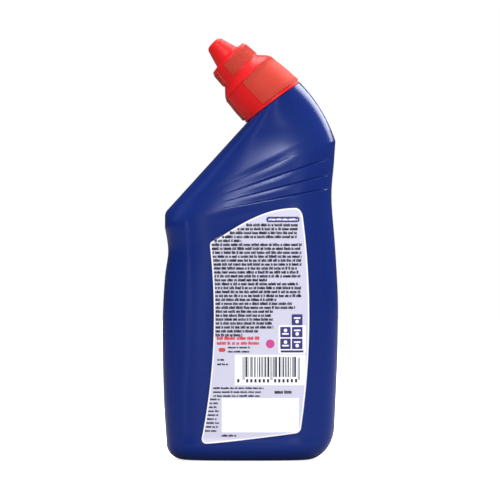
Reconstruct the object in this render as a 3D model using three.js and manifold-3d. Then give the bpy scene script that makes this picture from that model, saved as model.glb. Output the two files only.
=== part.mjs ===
// Half-litre toilet cleaner bottle with a leaning neck and a squeeze-and-turn cap.
// Millimetres, +Z up. The bottle stands on Z = 0, leans its neck towards -X,
// and its back label faces -Y. The origin is the middle of its bounding box, on the floor.
import * as THREE from 'three';
import { mergeVertices } from 'three/addons/utils/BufferGeometryUtils.js';
import Module from 'manifold-3d';

const wasm = await Module();
wasm.setup();

// Driving dimensions: bottle body
const bodyWidth = 90;
const bodyDepth = 47;
const wall = 1.0;
const bodySquareness = 3.4;
const waistInset = 2.8;
const leftWaistHeight = 107;
const rightWaistHeight = 134.2;
const leftCornerInset = 1.1;
const leftCornerHeight = 126.6;
const leftCornerRadius = 5;
const creaseHeight = 163.5;
const creaseInset = 1.2;
const shoulderRadius = 78;

// Driving dimensions: base
const leftFootRun = 9;
const leftFootRise = 8;
const leftFootInset = 2;
const rightFootRun = 14;
const rightFootRise = 18;
const rightFootInset = 1.7;
const faceFootRadius = 8;
const standingRing = 0.2;
const pushUp = 3;

// Driving dimensions: grip zone, whose ridges fan out from one point beside the bottle
const fanX = -60.4;
const fanHeight = 119.7;
const fanTopAngle = 26;
const ridgeAngles = [10.8, 14.6, 18.9, 23.6];
const ridgeHeight = 0.8;
const ridgeFoot = 0.6;
const ridgeFade = 1.9;
const gripStart = -14;
const gripFull = 10;
const gripEnd = 39.5;

// Driving dimensions: label panel and labels
const panelRecess = 0.5;
const panelEdge = 3;
const panelLeft = -34;
const panelRight = 37.4;
const panelFloor = 9;
const labelThickness = 0.3;
const labelLeft = -18.7;
const labelRight = 30.2;
const labelMiddle = 74;
const labelLeftBend = 312;
const labelRightBend = 385;
const labelBottom = 10.6;
const labelTopLeft = 112.5;
const labelTopRight = 129;
const labelCorner = 3.2;

// Driving dimensions: neck, measured along and across its leaning axis
const neckX = 11.74;
const neckHeight = 183;
const neckLean = 45;
const rimRadius = 17.25;
const rimTilt = 8;
const ledgeThickness = 1.3;
const neckRadius = 12.5;
const boreRadius = 10.8;
const neckLength = 18.5;

// Driving dimensions: three-start thread and child-resistance lugs
const threadStarts = 3;
const threadLead = 18;
const threadHeight = 1;
const threadWidth = 1.6;
const threadStart = 3.75;
const threadSweep = 97.5;
const threadFoot = 8;
const capThreadSweep = 52.5;
const neckLugReach = 2.5;
const lugWidth = 3;
const lugHeight = 4;
const lugFoot = 2.8;
const neckLugAngle = 90;
const capLugAngle = 112;

// Driving dimensions: cap
const capWall = 1.35;
const skirtTopRadius = 15.55;
const skirtLength = 19;
const coneLength = 4.6;
const collarRadius = 11.8;
const collarTopRadius = 11.2;
const collarLength = 8.4;
const collarEdge = 1;
const ledgeRise = 1.1;
const coverRadius = 6.9;
const coverTopRadius = 4.95;
const coverLength = 10.1;
const coverRounding = 2.2;

// Driving dimensions: ribbed grip pads on the cap
const padHeight = 0.2;
const ribHeight = 0.25;
const ribAngle = 5.5;
const padDirection = -40;
const skirtPadRibs = 24;
const collarPadRibs = 27;
const padFoot = 1.9;
const padMargin = 0.5;

// Driving dimensions: dosing nozzle, seal wad and contents
const nozzleWall = 1.1;
const plugLength = 6;
const flangeThickness = 1.3;
const flangeReach = 1.4;
const orificeRadius = 1.2;
const wadThickness = 1.1;
const fillHeight = 156;

// Clearances between pieces
const gap = 0.3;
const threadPlay = 0.4;
const spoutPlay = 0.9;
const liquidPlay = 0.5;

// Mesh fineness
const bodySegments = 48;
const cavitySegments = 36;
const turnedSegments = 48;
const plainSteps = 4;

const halfWidth = bodyWidth / 2;
const halfDepth = bodyDepth / 2;
const radians = THREE.MathUtils.degToRad;
const smooth = THREE.MathUtils.smoothstep;
const lerp = THREE.MathUtils.lerp;
const rimSlope = Math.tan(radians(rimTilt));

// Neck frame: local x runs across the neck, local z along its axis
const neckFrame = new THREE.Group();
neckFrame.position.set(neckX, 0, neckHeight);
neckFrame.rotation.y = -radians(neckLean);
neckFrame.updateMatrixWorld();

function neckPoint(across, along) {
  const point = new THREE.Vector3(across, 0, along).applyMatrix4(neckFrame.matrixWorld);
  return new THREE.Vector2(point.x, point.z);
}

// Solid helpers
function cleaned(geometry) {
  const bare = geometry.clone();
  for (const name of Object.keys(bare.attributes)) {
    if (name !== 'position') bare.deleteAttribute(name);
  }
  const merged = mergeVertices(bare, 1e-4);
  const index = merged.getIndex().array;
  const kept = [];
  for (let i = 0; i < index.length; i += 3) {
    const [a, b, c] = [index[i], index[i + 1], index[i + 2]];
    if (a !== b && b !== c && c !== a) kept.push(a, b, c);
  }
  merged.setIndex(kept);
  return merged;
}

function asManifold(geometry) {
  const clean = cleaned(geometry);
  return new wasm.Manifold(new wasm.Mesh({
    numProp: 3,
    vertProperties: new Float32Array(clean.getAttribute('position').array),
    triVerts: new Uint32Array(clean.getIndex().array),
  }));
}

function asGeometry(manifold) {
  const mesh = manifold.getMesh();
  const geometry = new THREE.BufferGeometry();
  geometry.setAttribute('position', new THREE.BufferAttribute(mesh.vertProperties, 3));
  geometry.setIndex(new THREE.BufferAttribute(mesh.triVerts, 1));
  geometry.computeVertexNormals();
  return geometry;
}

// A closed skin over a row of loops with equal point counts, its two ends closed by fans
function skinned(loops) {
  const count = loops[0].length;
  const positions = loops.flat().flatMap((p) => [p.x, p.y, p.z]);
  const index = [];
  for (let row = 0; row < loops.length - 1; row += 1) {
    for (let i = 0; i < count; i += 1) {
      const a = row * count + i;
      const b = row * count + ((i + 1) % count);
      index.push(a, b, a + count, b, b + count, a + count);
    }
  }
  const closeEnd = (row, flip) => {
    const middle = new THREE.Vector3();
    loops[row].forEach((p) => middle.add(p));
    middle.divideScalar(count);
    const hub = positions.length / 3;
    positions.push(middle.x, middle.y, middle.z);
    for (let i = 0; i < count; i += 1) {
      const a = row * count + i;
      const b = row * count + ((i + 1) % count);
      index.push(...(flip ? [hub, b, a] : [hub, a, b]));
    }
  };
  closeEnd(0, true);
  closeEnd(loops.length - 1, false);
  const geometry = new THREE.BufferGeometry();
  geometry.setAttribute('position', new THREE.Float32BufferAttribute(positions, 3));
  geometry.setIndex(index);
  return geometry;
}

// A solid of revolution about local z from [radius, height] pairs that start and end on the axis
function turned(profile, segments = turnedSegments) {
  const points = profile.map(([radius, height]) => new THREE.Vector2(radius, height));
  const lathe = new THREE.LatheGeometry(points, segments);
  lathe.rotateX(Math.PI / 2);
  return asManifold(lathe);
}

function inNeckFrame(manifold) {
  const geometry = asGeometry(manifold);
  geometry.applyMatrix4(neckFrame.matrixWorld);
  return asManifold(geometry);
}

// Bottle outline in the XZ plane
const rimLeft = neckPoint(-rimRadius, rimSlope * rimRadius);
const rimRight = neckPoint(rimRadius, -rimSlope * rimRadius);

function splinePoints(knots, divisions) {
  const curve = new THREE.SplineCurve(knots.map(([x, z]) => new THREE.Vector2(x, z)));
  return curve.getPoints(divisions);
}

function footArc(side, inset, run, rise) {
  const centre = side * (halfWidth - inset - run);
  const start = -Math.PI / 2;
  const points = [];
  for (let i = 0; i <= 8; i += 1) {
    const angle = start + (Math.PI / 2) * (i / 8);
    points.push(new THREE.Vector2(centre + side * run * Math.cos(angle), rise + rise * Math.sin(angle)));
  }
  return points;
}

function leftOutline() {
  const foot = footArc(-1, leftFootInset, leftFootRun, leftFootRise);
  const cornerX = -(halfWidth - leftCornerInset);
  const side = splinePoints([
    [-(halfWidth - leftFootInset), leftFootRise],
    [-(halfWidth - 0.6), 29],
    [-halfWidth, 52],
    [-halfWidth, 74],
    [-(halfWidth - waistInset * 0.42), leftWaistHeight - 13],
    [-(halfWidth - waistInset), leftWaistHeight],
    [cornerX, leftWaistHeight + 12],
  ], 40);
  const corner = new THREE.Vector2(cornerX, leftCornerHeight);
  const slope = rimLeft.clone().sub(corner).normalize();
  const bend = (Math.PI / 2 - slope.angle()) / 2;
  const setback = leftCornerRadius * Math.tan(bend);
  const before = corner.clone().sub(new THREE.Vector2(0, setback));
  const after = corner.clone().addScaledVector(slope, setback);
  const fillet = new THREE.QuadraticBezierCurve(before, corner, after).getPoints(5);
  return [...foot, ...side.slice(1), ...fillet, rimLeft];
}

function rightOutline() {
  const foot = footArc(1, rightFootInset, rightFootRun, rightFootRise);
  const crease = new THREE.Vector2(halfWidth - creaseInset, creaseHeight);
  const side = splinePoints([
    [halfWidth - rightFootInset, rightFootRise],
    [halfWidth - 0.6, 42],
    [halfWidth, 62],
    [halfWidth, 84],
    [halfWidth - waistInset * 0.5, rightWaistHeight - 25],
    [halfWidth - waistInset * 1.15, rightWaistHeight],
    [halfWidth - waistInset * 0.7, rightWaistHeight + 18],
    [crease.x, crease.y],
  ], 44);
  const chord = rimRight.clone().sub(crease);
  const middle = crease.clone().addScaledVector(chord, 0.5);
  const drop = Math.sqrt(shoulderRadius ** 2 - chord.lengthSq() / 4);
  const inward = new THREE.Vector2(-chord.y, chord.x).normalize();
  const centre = middle.addScaledVector(inward, drop);
  const from = crease.clone().sub(centre).angle();
  const to = rimRight.clone().sub(centre).angle();
  const arc = [];
  for (let i = 1; i <= 10; i += 1) {
    const angle = from + (((to - from + Math.PI) % (2 * Math.PI)) - Math.PI) * (i / 10);
    arc.push(centre.clone().add(new THREE.Vector2(Math.cos(angle), Math.sin(angle)).multiplyScalar(shoulderRadius)));
  }
  return [...foot, ...side.slice(1), ...arc];
}

// The outline moved inwards by an even distance and trimmed under the ledge of the neck
function offsetOutline(outline, side, distance, ledge) {
  const moved = outline.map((point, i) => {
    const before = outline[Math.max(i - 1, 0)];
    const after = outline[Math.min(i + 1, outline.length - 1)];
    const along = after.clone().sub(before).normalize();
    const inwards = new THREE.Vector2(along.y, -along.x).multiplyScalar(-side);
    return point.clone().addScaledVector(inwards, distance);
  });
  moved[0].set(outline[0].x, distance);
  const below = (p) => {
    const local = new THREE.Vector3(p.x, 0, p.y).applyMatrix4(neckFrame.matrixWorld.clone().invert());
    return -rimSlope * local.x - ledge - local.z;
  };
  while (below(moved[moved.length - 2]) < 0) moved.pop();
  const last = moved.pop();
  const previous = moved[moved.length - 1];
  const share = below(previous) / (below(previous) - below(last));
  return [...moved, previous.clone().lerp(last, share)];
}

function crossing(outline, origin, direction) {
  for (let i = 0; i < outline.length - 1; i += 1) {
    const a = outline[i].clone().sub(origin);
    const b = outline[i + 1].clone().sub(origin);
    const sideA = direction.x * a.y - direction.y * a.x;
    const sideB = direction.x * b.y - direction.y * b.x;
    if (sideA <= 0 && sideB > 0) {
      const share = sideA / (sideA - sideB);
      return { point: outline[i].clone().lerp(outline[i + 1], share), place: i + share };
    }
  }
  throw new Error('a section line misses the outline');
}

function lengthsAlong(outline) {
  const lengths = [0];
  for (let i = 1; i < outline.length; i += 1) {
    lengths.push(lengths[i - 1] + outline[i].distanceTo(outline[i - 1]));
  }
  return lengths;
}

function pointAtPlace(outline, place) {
  const i = Math.min(Math.floor(place), outline.length - 2);
  return outline[i].clone().lerp(outline[i + 1], place - i);
}

function pointAtLength(outline, lengths, length) {
  let i = 0;
  while (i < outline.length - 2 && lengths[i + 1] < length) i += 1;
  return pointAtPlace(outline, i + (length - lengths[i]) / (lengths[i + 1] - lengths[i]));
}

// One layer of the bottle: its outer skin, its cavity or its contents
function layer(inset) {
  const trimmed = inset > 0;
  const ledge = ledgeThickness + inset - wall;
  const left = trimmed ? offsetOutline(leftOutline(), -1, inset, ledge) : leftOutline();
  const right = trimmed ? offsetOutline(rightOutline(), 1, inset, ledge) : rightOutline();
  const fan = new THREE.Vector2(fanX, fanHeight);
  const top = new THREE.Vector2(Math.cos(radians(fanTopAngle)), Math.sin(radians(fanTopAngle)));
  const sides = [left, right].map((outline) => {
    const lengths = lengthsAlong(outline);
    const { place } = crossing(outline, fan, top);
    const i = Math.min(Math.floor(place), outline.length - 2);
    const start = lengths[i] + (lengths[i + 1] - lengths[i]) * (place - i);
    return { outline, lengths, start, end: lengths[lengths.length - 1] };
  });
  const faceInset = inset > 0 ? inset + panelRecess : 0;
  return { inset, faceInset, fan, sides };
}

function faceDepthAt(height) {
  if (height >= faceFootRadius) return halfDepth;
  const fall = (faceFootRadius - Math.max(height, 0)) / faceFootRadius;
  return halfDepth - faceFootRadius * (1 - Math.sqrt(1 - fall * fall));
}

// Section of a layer. Stage 0 to 1 climbs level, 1 to 2 fans through the grip, 2 to 3 turns to the rim
function section(shell, stage) {
  let ends;
  let depth;
  if (stage <= 1) {
    const height = lerp(shell.inset, fanHeight, stage);
    const origin = new THREE.Vector2(0, height);
    const across = new THREE.Vector2(1, 0);
    ends = shell.sides.map(({ outline }) => (
      stage === 0 ? outline[0].clone() : crossing(outline, origin, across).point
    ));
    depth = faceDepthAt(height - shell.inset) - shell.faceInset;
  } else if (stage <= 2) {
    const angle = radians(fanTopAngle * (stage - 1));
    const ray = new THREE.Vector2(Math.cos(angle), Math.sin(angle));
    ends = shell.sides.map(({ outline }) => crossing(outline, shell.fan, ray).point);
  } else {
    ends = shell.sides.map(({ outline, lengths, start, end }) => (
      pointAtLength(outline, lengths, lerp(start, end, stage - 2))
    ));
  }
  const turn = smooth(stage, 1, 3);
  if (stage > 1) depth = lerp(halfDepth, rimRadius, turn) - lerp(shell.faceInset, shell.inset, turn);
  return { left: ends[0], right: ends[1], depth, squareness: lerp(bodySquareness, 2, turn) };
}

function gripRelief(x, z) {
  const angle = THREE.MathUtils.radToDeg(Math.atan2(z - fanHeight, x - fanX));
  const fade = smooth(x, gripStart, gripFull) * (1 - smooth(x, gripEnd - 1, gripEnd + 1));
  let relief = 0;
  for (const crest of ridgeAngles) {
    const away = angle - crest;
    const reach = away < 0 ? ridgeFoot : ridgeFade;
    relief = Math.max(relief, 1 - Math.abs(away) / reach);
  }
  return ridgeHeight * fade * relief;
}

function panelRelief(x, z) {
  const angle = THREE.MathUtils.radToDeg(Math.atan2(z - fanHeight, x - fanX));
  const across = smooth(x, panelLeft, panelLeft + panelEdge) * (1 - smooth(x, panelRight - panelEdge, panelRight));
  const up = smooth(z, panelFloor, panelFloor + panelEdge);
  const down = 1 - smooth(angle, ridgeAngles[0] - 3 * ridgeFoot, ridgeAngles[0] - ridgeFoot);
  return -panelRecess * across * up * down;
}

function loopOf(cut, segments, relief) {
  const middle = cut.left.clone().add(cut.right).multiplyScalar(0.5);
  const reach = cut.right.clone().sub(cut.left).multiplyScalar(0.5);
  const loop = [];
  for (let i = 0; i < segments; i += 1) {
    const angle = (2 * Math.PI * i) / segments;
    const [c, s] = [Math.cos(angle), Math.sin(angle)];
    const stretch = (Math.abs(c) ** cut.squareness + Math.abs(s) ** cut.squareness) ** (-1 / cut.squareness);
    const x = middle.x + reach.x * c * stretch;
    const z = middle.y + reach.y * c * stretch;
    let y = cut.depth * s * stretch;
    if (relief) y += Math.sign(s) * smooth(Math.abs(s * stretch), 0.5, 0.9) * relief(x, z);
    loop.push(new THREE.Vector3(x, y, z));
  }
  return loop;
}

// Foot loops: the middle of the base is pushed up and leaves a flat standing ring
function footLoops(segments, floor) {
  const cut = section(layer(0), 0);
  const edge = loopOf(cut, segments);
  const middleX = (cut.left.x + cut.right.x) / 2;
  const shrunk = (share, rise) => edge.map((p) => new THREE.Vector3(
    middleX + (p.x - middleX) * share,
    p.y * share,
    floor + rise,
  ));
  const ring = 1 - standingRing;
  return [
    shrunk(ring * 0.6, pushUp * 0.93),
    shrunk(ring * 0.88, pushUp * 0.6),
    shrunk(ring, 0),
  ];
}

// Loops of the neck or bore: across the ledge on the oblique rim plane, then up along the neck
function neckLoops(radius, segments, drop, rises) {
  const loopAt = (ring, heightAt) => Array.from({ length: segments }, (_, i) => {
    const angle = (2 * Math.PI * i) / segments;
    const x = ring * Math.cos(angle);
    return new THREE.Vector3(x, ring * Math.sin(angle), heightAt(x)).applyMatrix4(neckFrame.matrixWorld);
  });
  const onLedge = loopAt(radius, (x) => -rimSlope * x - drop);
  return [onLedge, ...rises.map(([ring, height]) => loopAt(ring, () => height))];
}

function loftedLayer(shell, stages, segments, neck, relief) {
  const loops = stages.map((stage) => loopOf(section(shell, stage), segments, relief));
  const foot = footLoops(segments, shell.inset);
  return asManifold(skinned([...foot, ...loops, ...neck]));
}

function spread(from, to, steps) {
  return Array.from({ length: steps }, (_, i) => lerp(from, to, i / steps));
}

function outerStages() {
  const levels = [0, 0.8, 2.4, 5, 8, 13, 19, 29, 42, 58, 76, 88, 95, 101, 107, 113].map((z) => z / fanHeight);
  const rays = [0, 4, 8.2, 9.6];
  for (const crest of ridgeAngles) rays.push(crest - ridgeFoot, crest, crest + ridgeFade);
  const fan = rays.map((angle) => 1 + angle / fanTopAngle);
  return [...levels, ...fan, ...spread(2, 3, 9), 3];
}

function innerStages() {
  const levels = [0, 1.5, 4, 8, 14, 22, 45, 80, 95, 107].map((z) => z / fanHeight);
  return [...levels, ...spread(1, 2, 4), ...spread(2, 3, 6), 3];
}

// A short helical ridge on a cylinder about local z, from its root radius to its crest radius
function helicalRidge(root, crest, startAngle, sweep, foot, width) {
  const thin = width / 4;
  const facet = 360 / turnedSegments;
  const angles = [startAngle];
  for (let angle = Math.ceil(startAngle / facet) * facet; angle < startAngle + sweep; angle += facet) {
    if (angle > startAngle) angles.push(angle);
  }
  angles.push(startAngle + sweep);
  return asManifold(skinned(angles.map((degrees) => {
    const angle = radians(degrees);
    const height = foot + (threadLead * (degrees - startAngle)) / 360;
    const at = (radius, z) => new THREE.Vector3(radius * Math.cos(angle), radius * Math.sin(angle), z);
    const loop = [
      at(root, height + width),
      at(crest, height + width - thin),
      at(crest, height + thin),
      at(root, height),
    ];
    return crest > root ? loop : loop.reverse();
  })));
}

function lug(inner, outer, angle, from, to) {
  const halfTurn = lugWidth / (inner + outer);
  const edges = [-halfTurn, halfTurn].map((turn) => radians(angle) + turn);
  const at = (radius, turn, z) => new THREE.Vector3(radius * Math.cos(turn), radius * Math.sin(turn), z);
  return asManifold(skinned(edges.map((turn) => [
    at(inner, turn, to),
    at(outer, turn, to),
    at(outer, turn, from),
    at(inner, turn, from),
  ])));
}

// Thread ridges and lugs that stand out from the neck
function neckTrim() {
  const ridges = Array.from({ length: threadStarts }, (_, start) => helicalRidge(
    neckRadius - 0.4,
    neckRadius + threadHeight,
    threadStart + (360 * start) / threadStarts,
    threadSweep,
    threadFoot,
    threadWidth,
  ));
  const lugs = [0, 180].map((side) => lug(
    neckRadius - 0.4,
    neckRadius + neckLugReach,
    neckLugAngle + side,
    -1,
    lugHeight,
  ));
  return [...ridges, ...lugs].map(inNeckFrame);
}

function makeBottle() {
  const relief = (x, z) => gripRelief(x, z) + panelRelief(x, z);
  const neck = neckLoops(neckRadius, bodySegments, 0, [
    [neckRadius, neckLength - 0.5],
    [neckRadius - 0.5, neckLength],
  ]);
  const bore = neckLoops(boreRadius, cavitySegments, ledgeThickness, [[boreRadius, neckLength + 1]]);
  let bottle = loftedLayer(layer(0), outerStages(), bodySegments, neck, relief);
  for (const trim of neckTrim()) bottle = bottle.add(trim);
  return asGeometry(bottle.subtract(loftedLayer(layer(wall), innerStages(), cavitySegments, bore)));
}

function makeLiquid() {
  const filled = loftedLayer(layer(wall + liquidPlay), innerStages(), cavitySegments, []);
  const above = new THREE.BoxGeometry(2 * bodyWidth, 2 * bodyDepth, neckHeight);
  above.translate(0, 0, fillHeight + neckHeight / 2);
  return asGeometry(filled.subtract(asManifold(above)));
}

// Half-depth of the outer skin, with its panel recess, at a place seen from the front
function skinDepthAt(shell, x, z) {
  let low = 0.02;
  let high = 2.6;
  for (let i = 0; i < 40; i += 1) {
    const stage = (low + high) / 2;
    const cut = section(shell, stage);
    const reach = cut.right.clone().sub(cut.left);
    const above = reach.x * (z - cut.left.y) - reach.y * (x - cut.left.x);
    if (above > 0) low = stage;
    else high = stage;
  }
  const cut = section(shell, low);
  const middle = cut.left.clone().add(cut.right).multiplyScalar(0.5);
  const share = (2 * Math.abs(x - middle.x)) / Math.abs(cut.right.x - cut.left.x);
  return cut.depth * (1 - share ** cut.squareness) ** (1 / cut.squareness) + panelRelief(x, z);
}

function labelEdges(height) {
  const away = (height - labelMiddle) ** 2;
  return [labelLeft - away / (2 * labelLeftBend), labelRight - away / (2 * labelRightBend)];
}

// Places on the label, row by row, with its side edges drawn in at the rounded corners
function labelRows() {
  const columns = 9;
  const middleRows = 11;
  const bends = [0, 30, 60].map(radians);
  const foot = bends.map((turn) => ({ rise: labelCorner * (1 - Math.cos(turn)), cut: labelCorner * (1 - Math.sin(turn)) }));
  const height = labelTopLeft - labelBottom;
  const middle = Array.from({ length: middleRows + 1 }, (_, j) => (
    { rise: lerp(labelCorner, height - labelCorner, j / middleRows), cut: 0 }
  ));
  const head = [...foot].reverse().map(({ rise, cut }) => ({ rise: height - rise, cut }));
  return [...foot, ...middle, ...head].map(({ rise, cut }) => (
    Array.from({ length: columns + 1 }, (_, i) => {
      const share = i / columns;
      const swell = Math.sin((share * Math.PI) / 2) * (labelTopRight - labelTopLeft);
      const z = labelBottom + rise + swell * (rise / height) ** 3;
      const [left, right] = labelEdges(z);
      return [lerp(left + cut, right - cut, share), z];
    })
  ));
}

function makeLabel(side) {
  const shell = layer(0);
  const loops = labelRows().map((line) => {
    const inner = line.map(([x, z]) => new THREE.Vector3(x, side * (skinDepthAt(shell, x, z) + gap), z));
    const outer = inner.map((p) => new THREE.Vector3(p.x, p.y + side * labelThickness, p.z));
    const loop = [...inner, ...outer.reverse()];
    return side < 0 ? loop.reverse() : loop;
  });
  return asGeometry(asManifold(stacked(loops)));
}

// Flat strips whose loops run out along one face and back along the other
function stacked(loops) {
  const count = loops[0].length;
  const half = count / 2;
  const positions = loops.flat().flatMap((p) => [p.x, p.y, p.z]);
  const index = [];
  for (let row = 0; row < loops.length - 1; row += 1) {
    for (let i = 0; i < count; i += 1) {
      const a = row * count + i;
      const b = row * count + ((i + 1) % count);
      index.push(a, b, a + count, b, b + count, a + count);
    }
  }
  const last = (loops.length - 1) * count;
  for (let i = 0; i < half - 1; i += 1) {
    const [a, b, c, d] = [i, i + 1, count - 2 - i, count - 1 - i];
    index.push(a, c, b, a, d, c);
    index.push(last + a, last + b, last + c, last + a, last + c, last + d);
  }
  const geometry = new THREE.BufferGeometry();
  geometry.setAttribute('position', new THREE.Float32BufferAttribute(positions, 3));
  geometry.setIndex(index);
  return geometry;
}

// Heights along the cap, from the rim plane
const coneTop = skirtLength + coneLength;
const collarTop = coneTop + collarLength;
const ledgeTop = collarTop + collarEdge + ledgeRise;
const crown = ledgeTop + coverLength;
const crownInside = crown - capWall;

function capSkirtRadius(along) {
  return lerp(rimRadius, skirtTopRadius, along / skirtLength);
}

// Directions round the cap: two per rib on its pads, wider steps between the pads
function capDirections() {
  const half = (collarPadRibs * ribAngle) / 2;
  const plain = (180 - 2 * half) / plainSteps;
  const directions = [];
  for (const side of [0, 180]) {
    for (let i = 0; i <= 2 * collarPadRibs; i += 1) {
      directions.push({ angle: padDirection + side - half + (i * ribAngle) / 2, step: i });
    }
    for (let i = 1; i < plainSteps; i += 1) {
      directions.push({ angle: padDirection + side + half + plain * i, step: -1 });
    }
  }
  return directions;
}

// How far a pad of some ribs stands proud at one direction
function padRise(step, ribs) {
  const margin = collarPadRibs - ribs;
  if (step < margin || step > 2 * collarPadRibs - margin) return 0;
  return (step - margin) % 2 === 0 ? padHeight : padHeight + ribHeight;
}

function capOutside() {
  const flat = (radius, height, ribs = 0) => ({ radiusAt: () => radius, heightAt: () => height, ribs });
  const skirt = (rise, ribs) => ({ radiusAt: capSkirtRadius, heightAt: (x) => rise - rimSlope * x, ribs });
  const rows = [
    skirt(gap, 0),
    skirt(padFoot, 0),
    skirt(padFoot + padMargin, skirtPadRibs),
    flat(capSkirtRadius(skirtLength - padMargin), skirtLength - padMargin, skirtPadRibs),
    flat(skirtTopRadius, skirtLength),
    flat(collarRadius, coneTop),
    flat(collarRadius, coneTop + padMargin, collarPadRibs),
    flat(collarTopRadius, collarTop - padMargin, collarPadRibs),
    flat(collarTopRadius, collarTop),
    flat(collarTopRadius - 0.3 * collarEdge, collarTop + 0.7 * collarEdge),
    flat(collarTopRadius - collarEdge, collarTop + collarEdge),
    flat(coverRadius, ledgeTop),
    flat(coverTopRadius, crown - coverRounding),
    flat(coverTopRadius - 0.3 * coverRounding, crown - 0.3 * coverRounding),
    flat(coverTopRadius - coverRounding, crown),
  ];
  const loops = rows.map((row) => capDirections().map(({ angle, step }) => {
    const turn = radians(angle);
    const height = row.heightAt(rimRadius * Math.cos(turn));
    const rise = row.ribs ? padRise(step, row.ribs) : 0;
    const radius = row.radiusAt(height) + rise;
    return new THREE.Vector3(radius * Math.cos(turn), radius * Math.sin(turn), height);
  }));
  return asManifold(skinned(loops));
}

function capInside() {
  const below = -7;
  const inner = (along) => capSkirtRadius(along) - capWall;
  return turned([
    [0, below],
    [inner(below), below],
    [inner(skirtLength - 0.5), skirtLength - 0.5],
    [collarRadius - capWall, coneTop - 0.5],
    [collarTopRadius - capWall, collarTop - 0.4],
    [coverRadius - capWall, collarTop - 0.1],
    [coverTopRadius - capWall, crown - 1.2 * coverRounding],
    [coverTopRadius - capWall, crownInside],
    [0, crownInside],
  ]);
}

function makeCap() {
  let cap = capOutside().subtract(capInside());
  const ridgeInner = neckRadius + threadPlay;
  const late = (threadSweep - capThreadSweep) / 2;
  const foot = threadFoot + (threadLead * late) / 360 - threadWidth - gap;
  for (let start = 0; start < threadStarts; start += 1) {
    const angle = threadStart + (360 * start) / threadStarts + late;
    cap = cap.add(helicalRidge(skirtTopRadius - capWall / 2, ridgeInner, angle, capThreadSweep, foot, threadWidth));
  }
  const lugInner = neckRadius + neckLugReach + gap;
  const lugOuter = capSkirtRadius(lugHeight) - capWall / 2;
  for (const side of [0, 180]) {
    cap = cap.add(lug(lugInner, lugOuter, capLugAngle + side, lugFoot, lugFoot + lugHeight));
  }
  return asGeometry(cap);
}

function makeNozzle() {
  const seat = neckLength + gap;
  const flangeTop = seat + flangeThickness;
  const tip = crownInside - wadThickness - 2 * gap;
  const knee = collarTop + collarEdge;
  const kneeRadius = coverRadius - capWall - spoutPlay;
  const tipRadius = coverTopRadius - capWall - spoutPlay;
  const plugRadius = boreRadius - gap;
  const profile = [
    [orificeRadius, tip],
    [orificeRadius, tip - 2],
    [kneeRadius - nozzleWall, knee],
    [plugRadius - nozzleWall, flangeTop],
    [plugRadius - nozzleWall, seat - plugLength],
    [plugRadius - 0.4, seat - plugLength],
    [plugRadius, seat - plugLength + 1],
    [plugRadius, seat],
    [boreRadius + flangeReach, seat],
    [boreRadius + flangeReach, flangeTop - 0.3],
    [boreRadius + flangeReach - 0.3, flangeTop],
    [plugRadius - 0.3, flangeTop],
    [kneeRadius, knee],
    [tipRadius, tip - 0.4],
    [tipRadius - 0.4, tip],
    [orificeRadius, tip],
  ];
  const lathe = new THREE.LatheGeometry(profile.map(([r, z]) => new THREE.Vector2(r, z)), turnedSegments);
  lathe.rotateX(Math.PI / 2);
  return asGeometry(asManifold(lathe));
}

function makeWad() {
  const top = crownInside - gap;
  const wadRadius = coverTopRadius - capWall - gap;
  return asGeometry(turned([
    [0, top - wadThickness],
    [wadRadius, top - wadThickness],
    [wadRadius, top],
    [0, top],
  ], 32));
}

function add(parent, name, geometry, color, roughness) {
  const material = new THREE.MeshStandardMaterial({ color, roughness, metalness: 0 });
  const mesh = new THREE.Mesh(geometry, material);
  mesh.name = name;
  parent.add(mesh);
}

const model = new THREE.Group();
const neckGroup = neckFrame.clone();
model.add(neckGroup);
add(model, 'bottle', makeBottle(), 0x1b2f73, 0.25);
add(model, 'cleaning_liquid', makeLiquid(), 0x2038a0, 0.1);
add(model, 'back_label', makeLabel(-1), 0xdad7ea, 0.5);
add(model, 'front_label', makeLabel(1), 0xdad7ea, 0.5);
add(neckGroup, 'nozzle_insert', makeNozzle(), 0xe8e8ec, 0.4);
add(neckGroup, 'seal_wad', makeWad(), 0xf2f2f2, 0.7);
add(neckGroup, 'cap', makeCap(), 0xd71e1e, 0.35);

export default model;
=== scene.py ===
"""Looks of a half-litre toilet cleaner bottle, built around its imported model.

Forms are worked out in millimetres in the part's own frame, and become metres in the meshes.
"""

import logging
import math
from dataclasses import dataclass
from enum import Enum

import bpy
import numpy as np
from mathutils import Euler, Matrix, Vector


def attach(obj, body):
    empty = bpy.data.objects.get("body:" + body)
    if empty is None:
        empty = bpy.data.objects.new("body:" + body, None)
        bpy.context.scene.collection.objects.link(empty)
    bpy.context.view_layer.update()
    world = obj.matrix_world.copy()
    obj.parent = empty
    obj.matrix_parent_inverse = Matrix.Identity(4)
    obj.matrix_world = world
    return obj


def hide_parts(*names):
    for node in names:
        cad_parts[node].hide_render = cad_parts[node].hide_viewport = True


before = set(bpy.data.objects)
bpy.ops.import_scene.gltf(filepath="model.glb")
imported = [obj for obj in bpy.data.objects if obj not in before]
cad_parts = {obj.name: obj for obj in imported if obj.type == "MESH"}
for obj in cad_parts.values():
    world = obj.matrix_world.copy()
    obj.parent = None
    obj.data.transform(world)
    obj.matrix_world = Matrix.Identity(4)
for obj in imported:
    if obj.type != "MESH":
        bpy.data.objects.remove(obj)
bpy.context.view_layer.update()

LOG = logging.getLogger("cleaner_bottle")
MM = 0.001
FULL_TURN = 2 * math.pi
PRINT_SEED = 7


def smooth(value: np.ndarray, low: float, high: float) -> np.ndarray:
    """Smooth step from 0 at low to 1 at high."""
    share = np.clip((np.asarray(value, float) - low) / (high - low), 0, 1)
    return share * share * (3 - 2 * share)


def mix(low: float, high: float, share: np.ndarray) -> np.ndarray:
    """Straight blend from low to high."""
    return low + (high - low) * share


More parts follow.
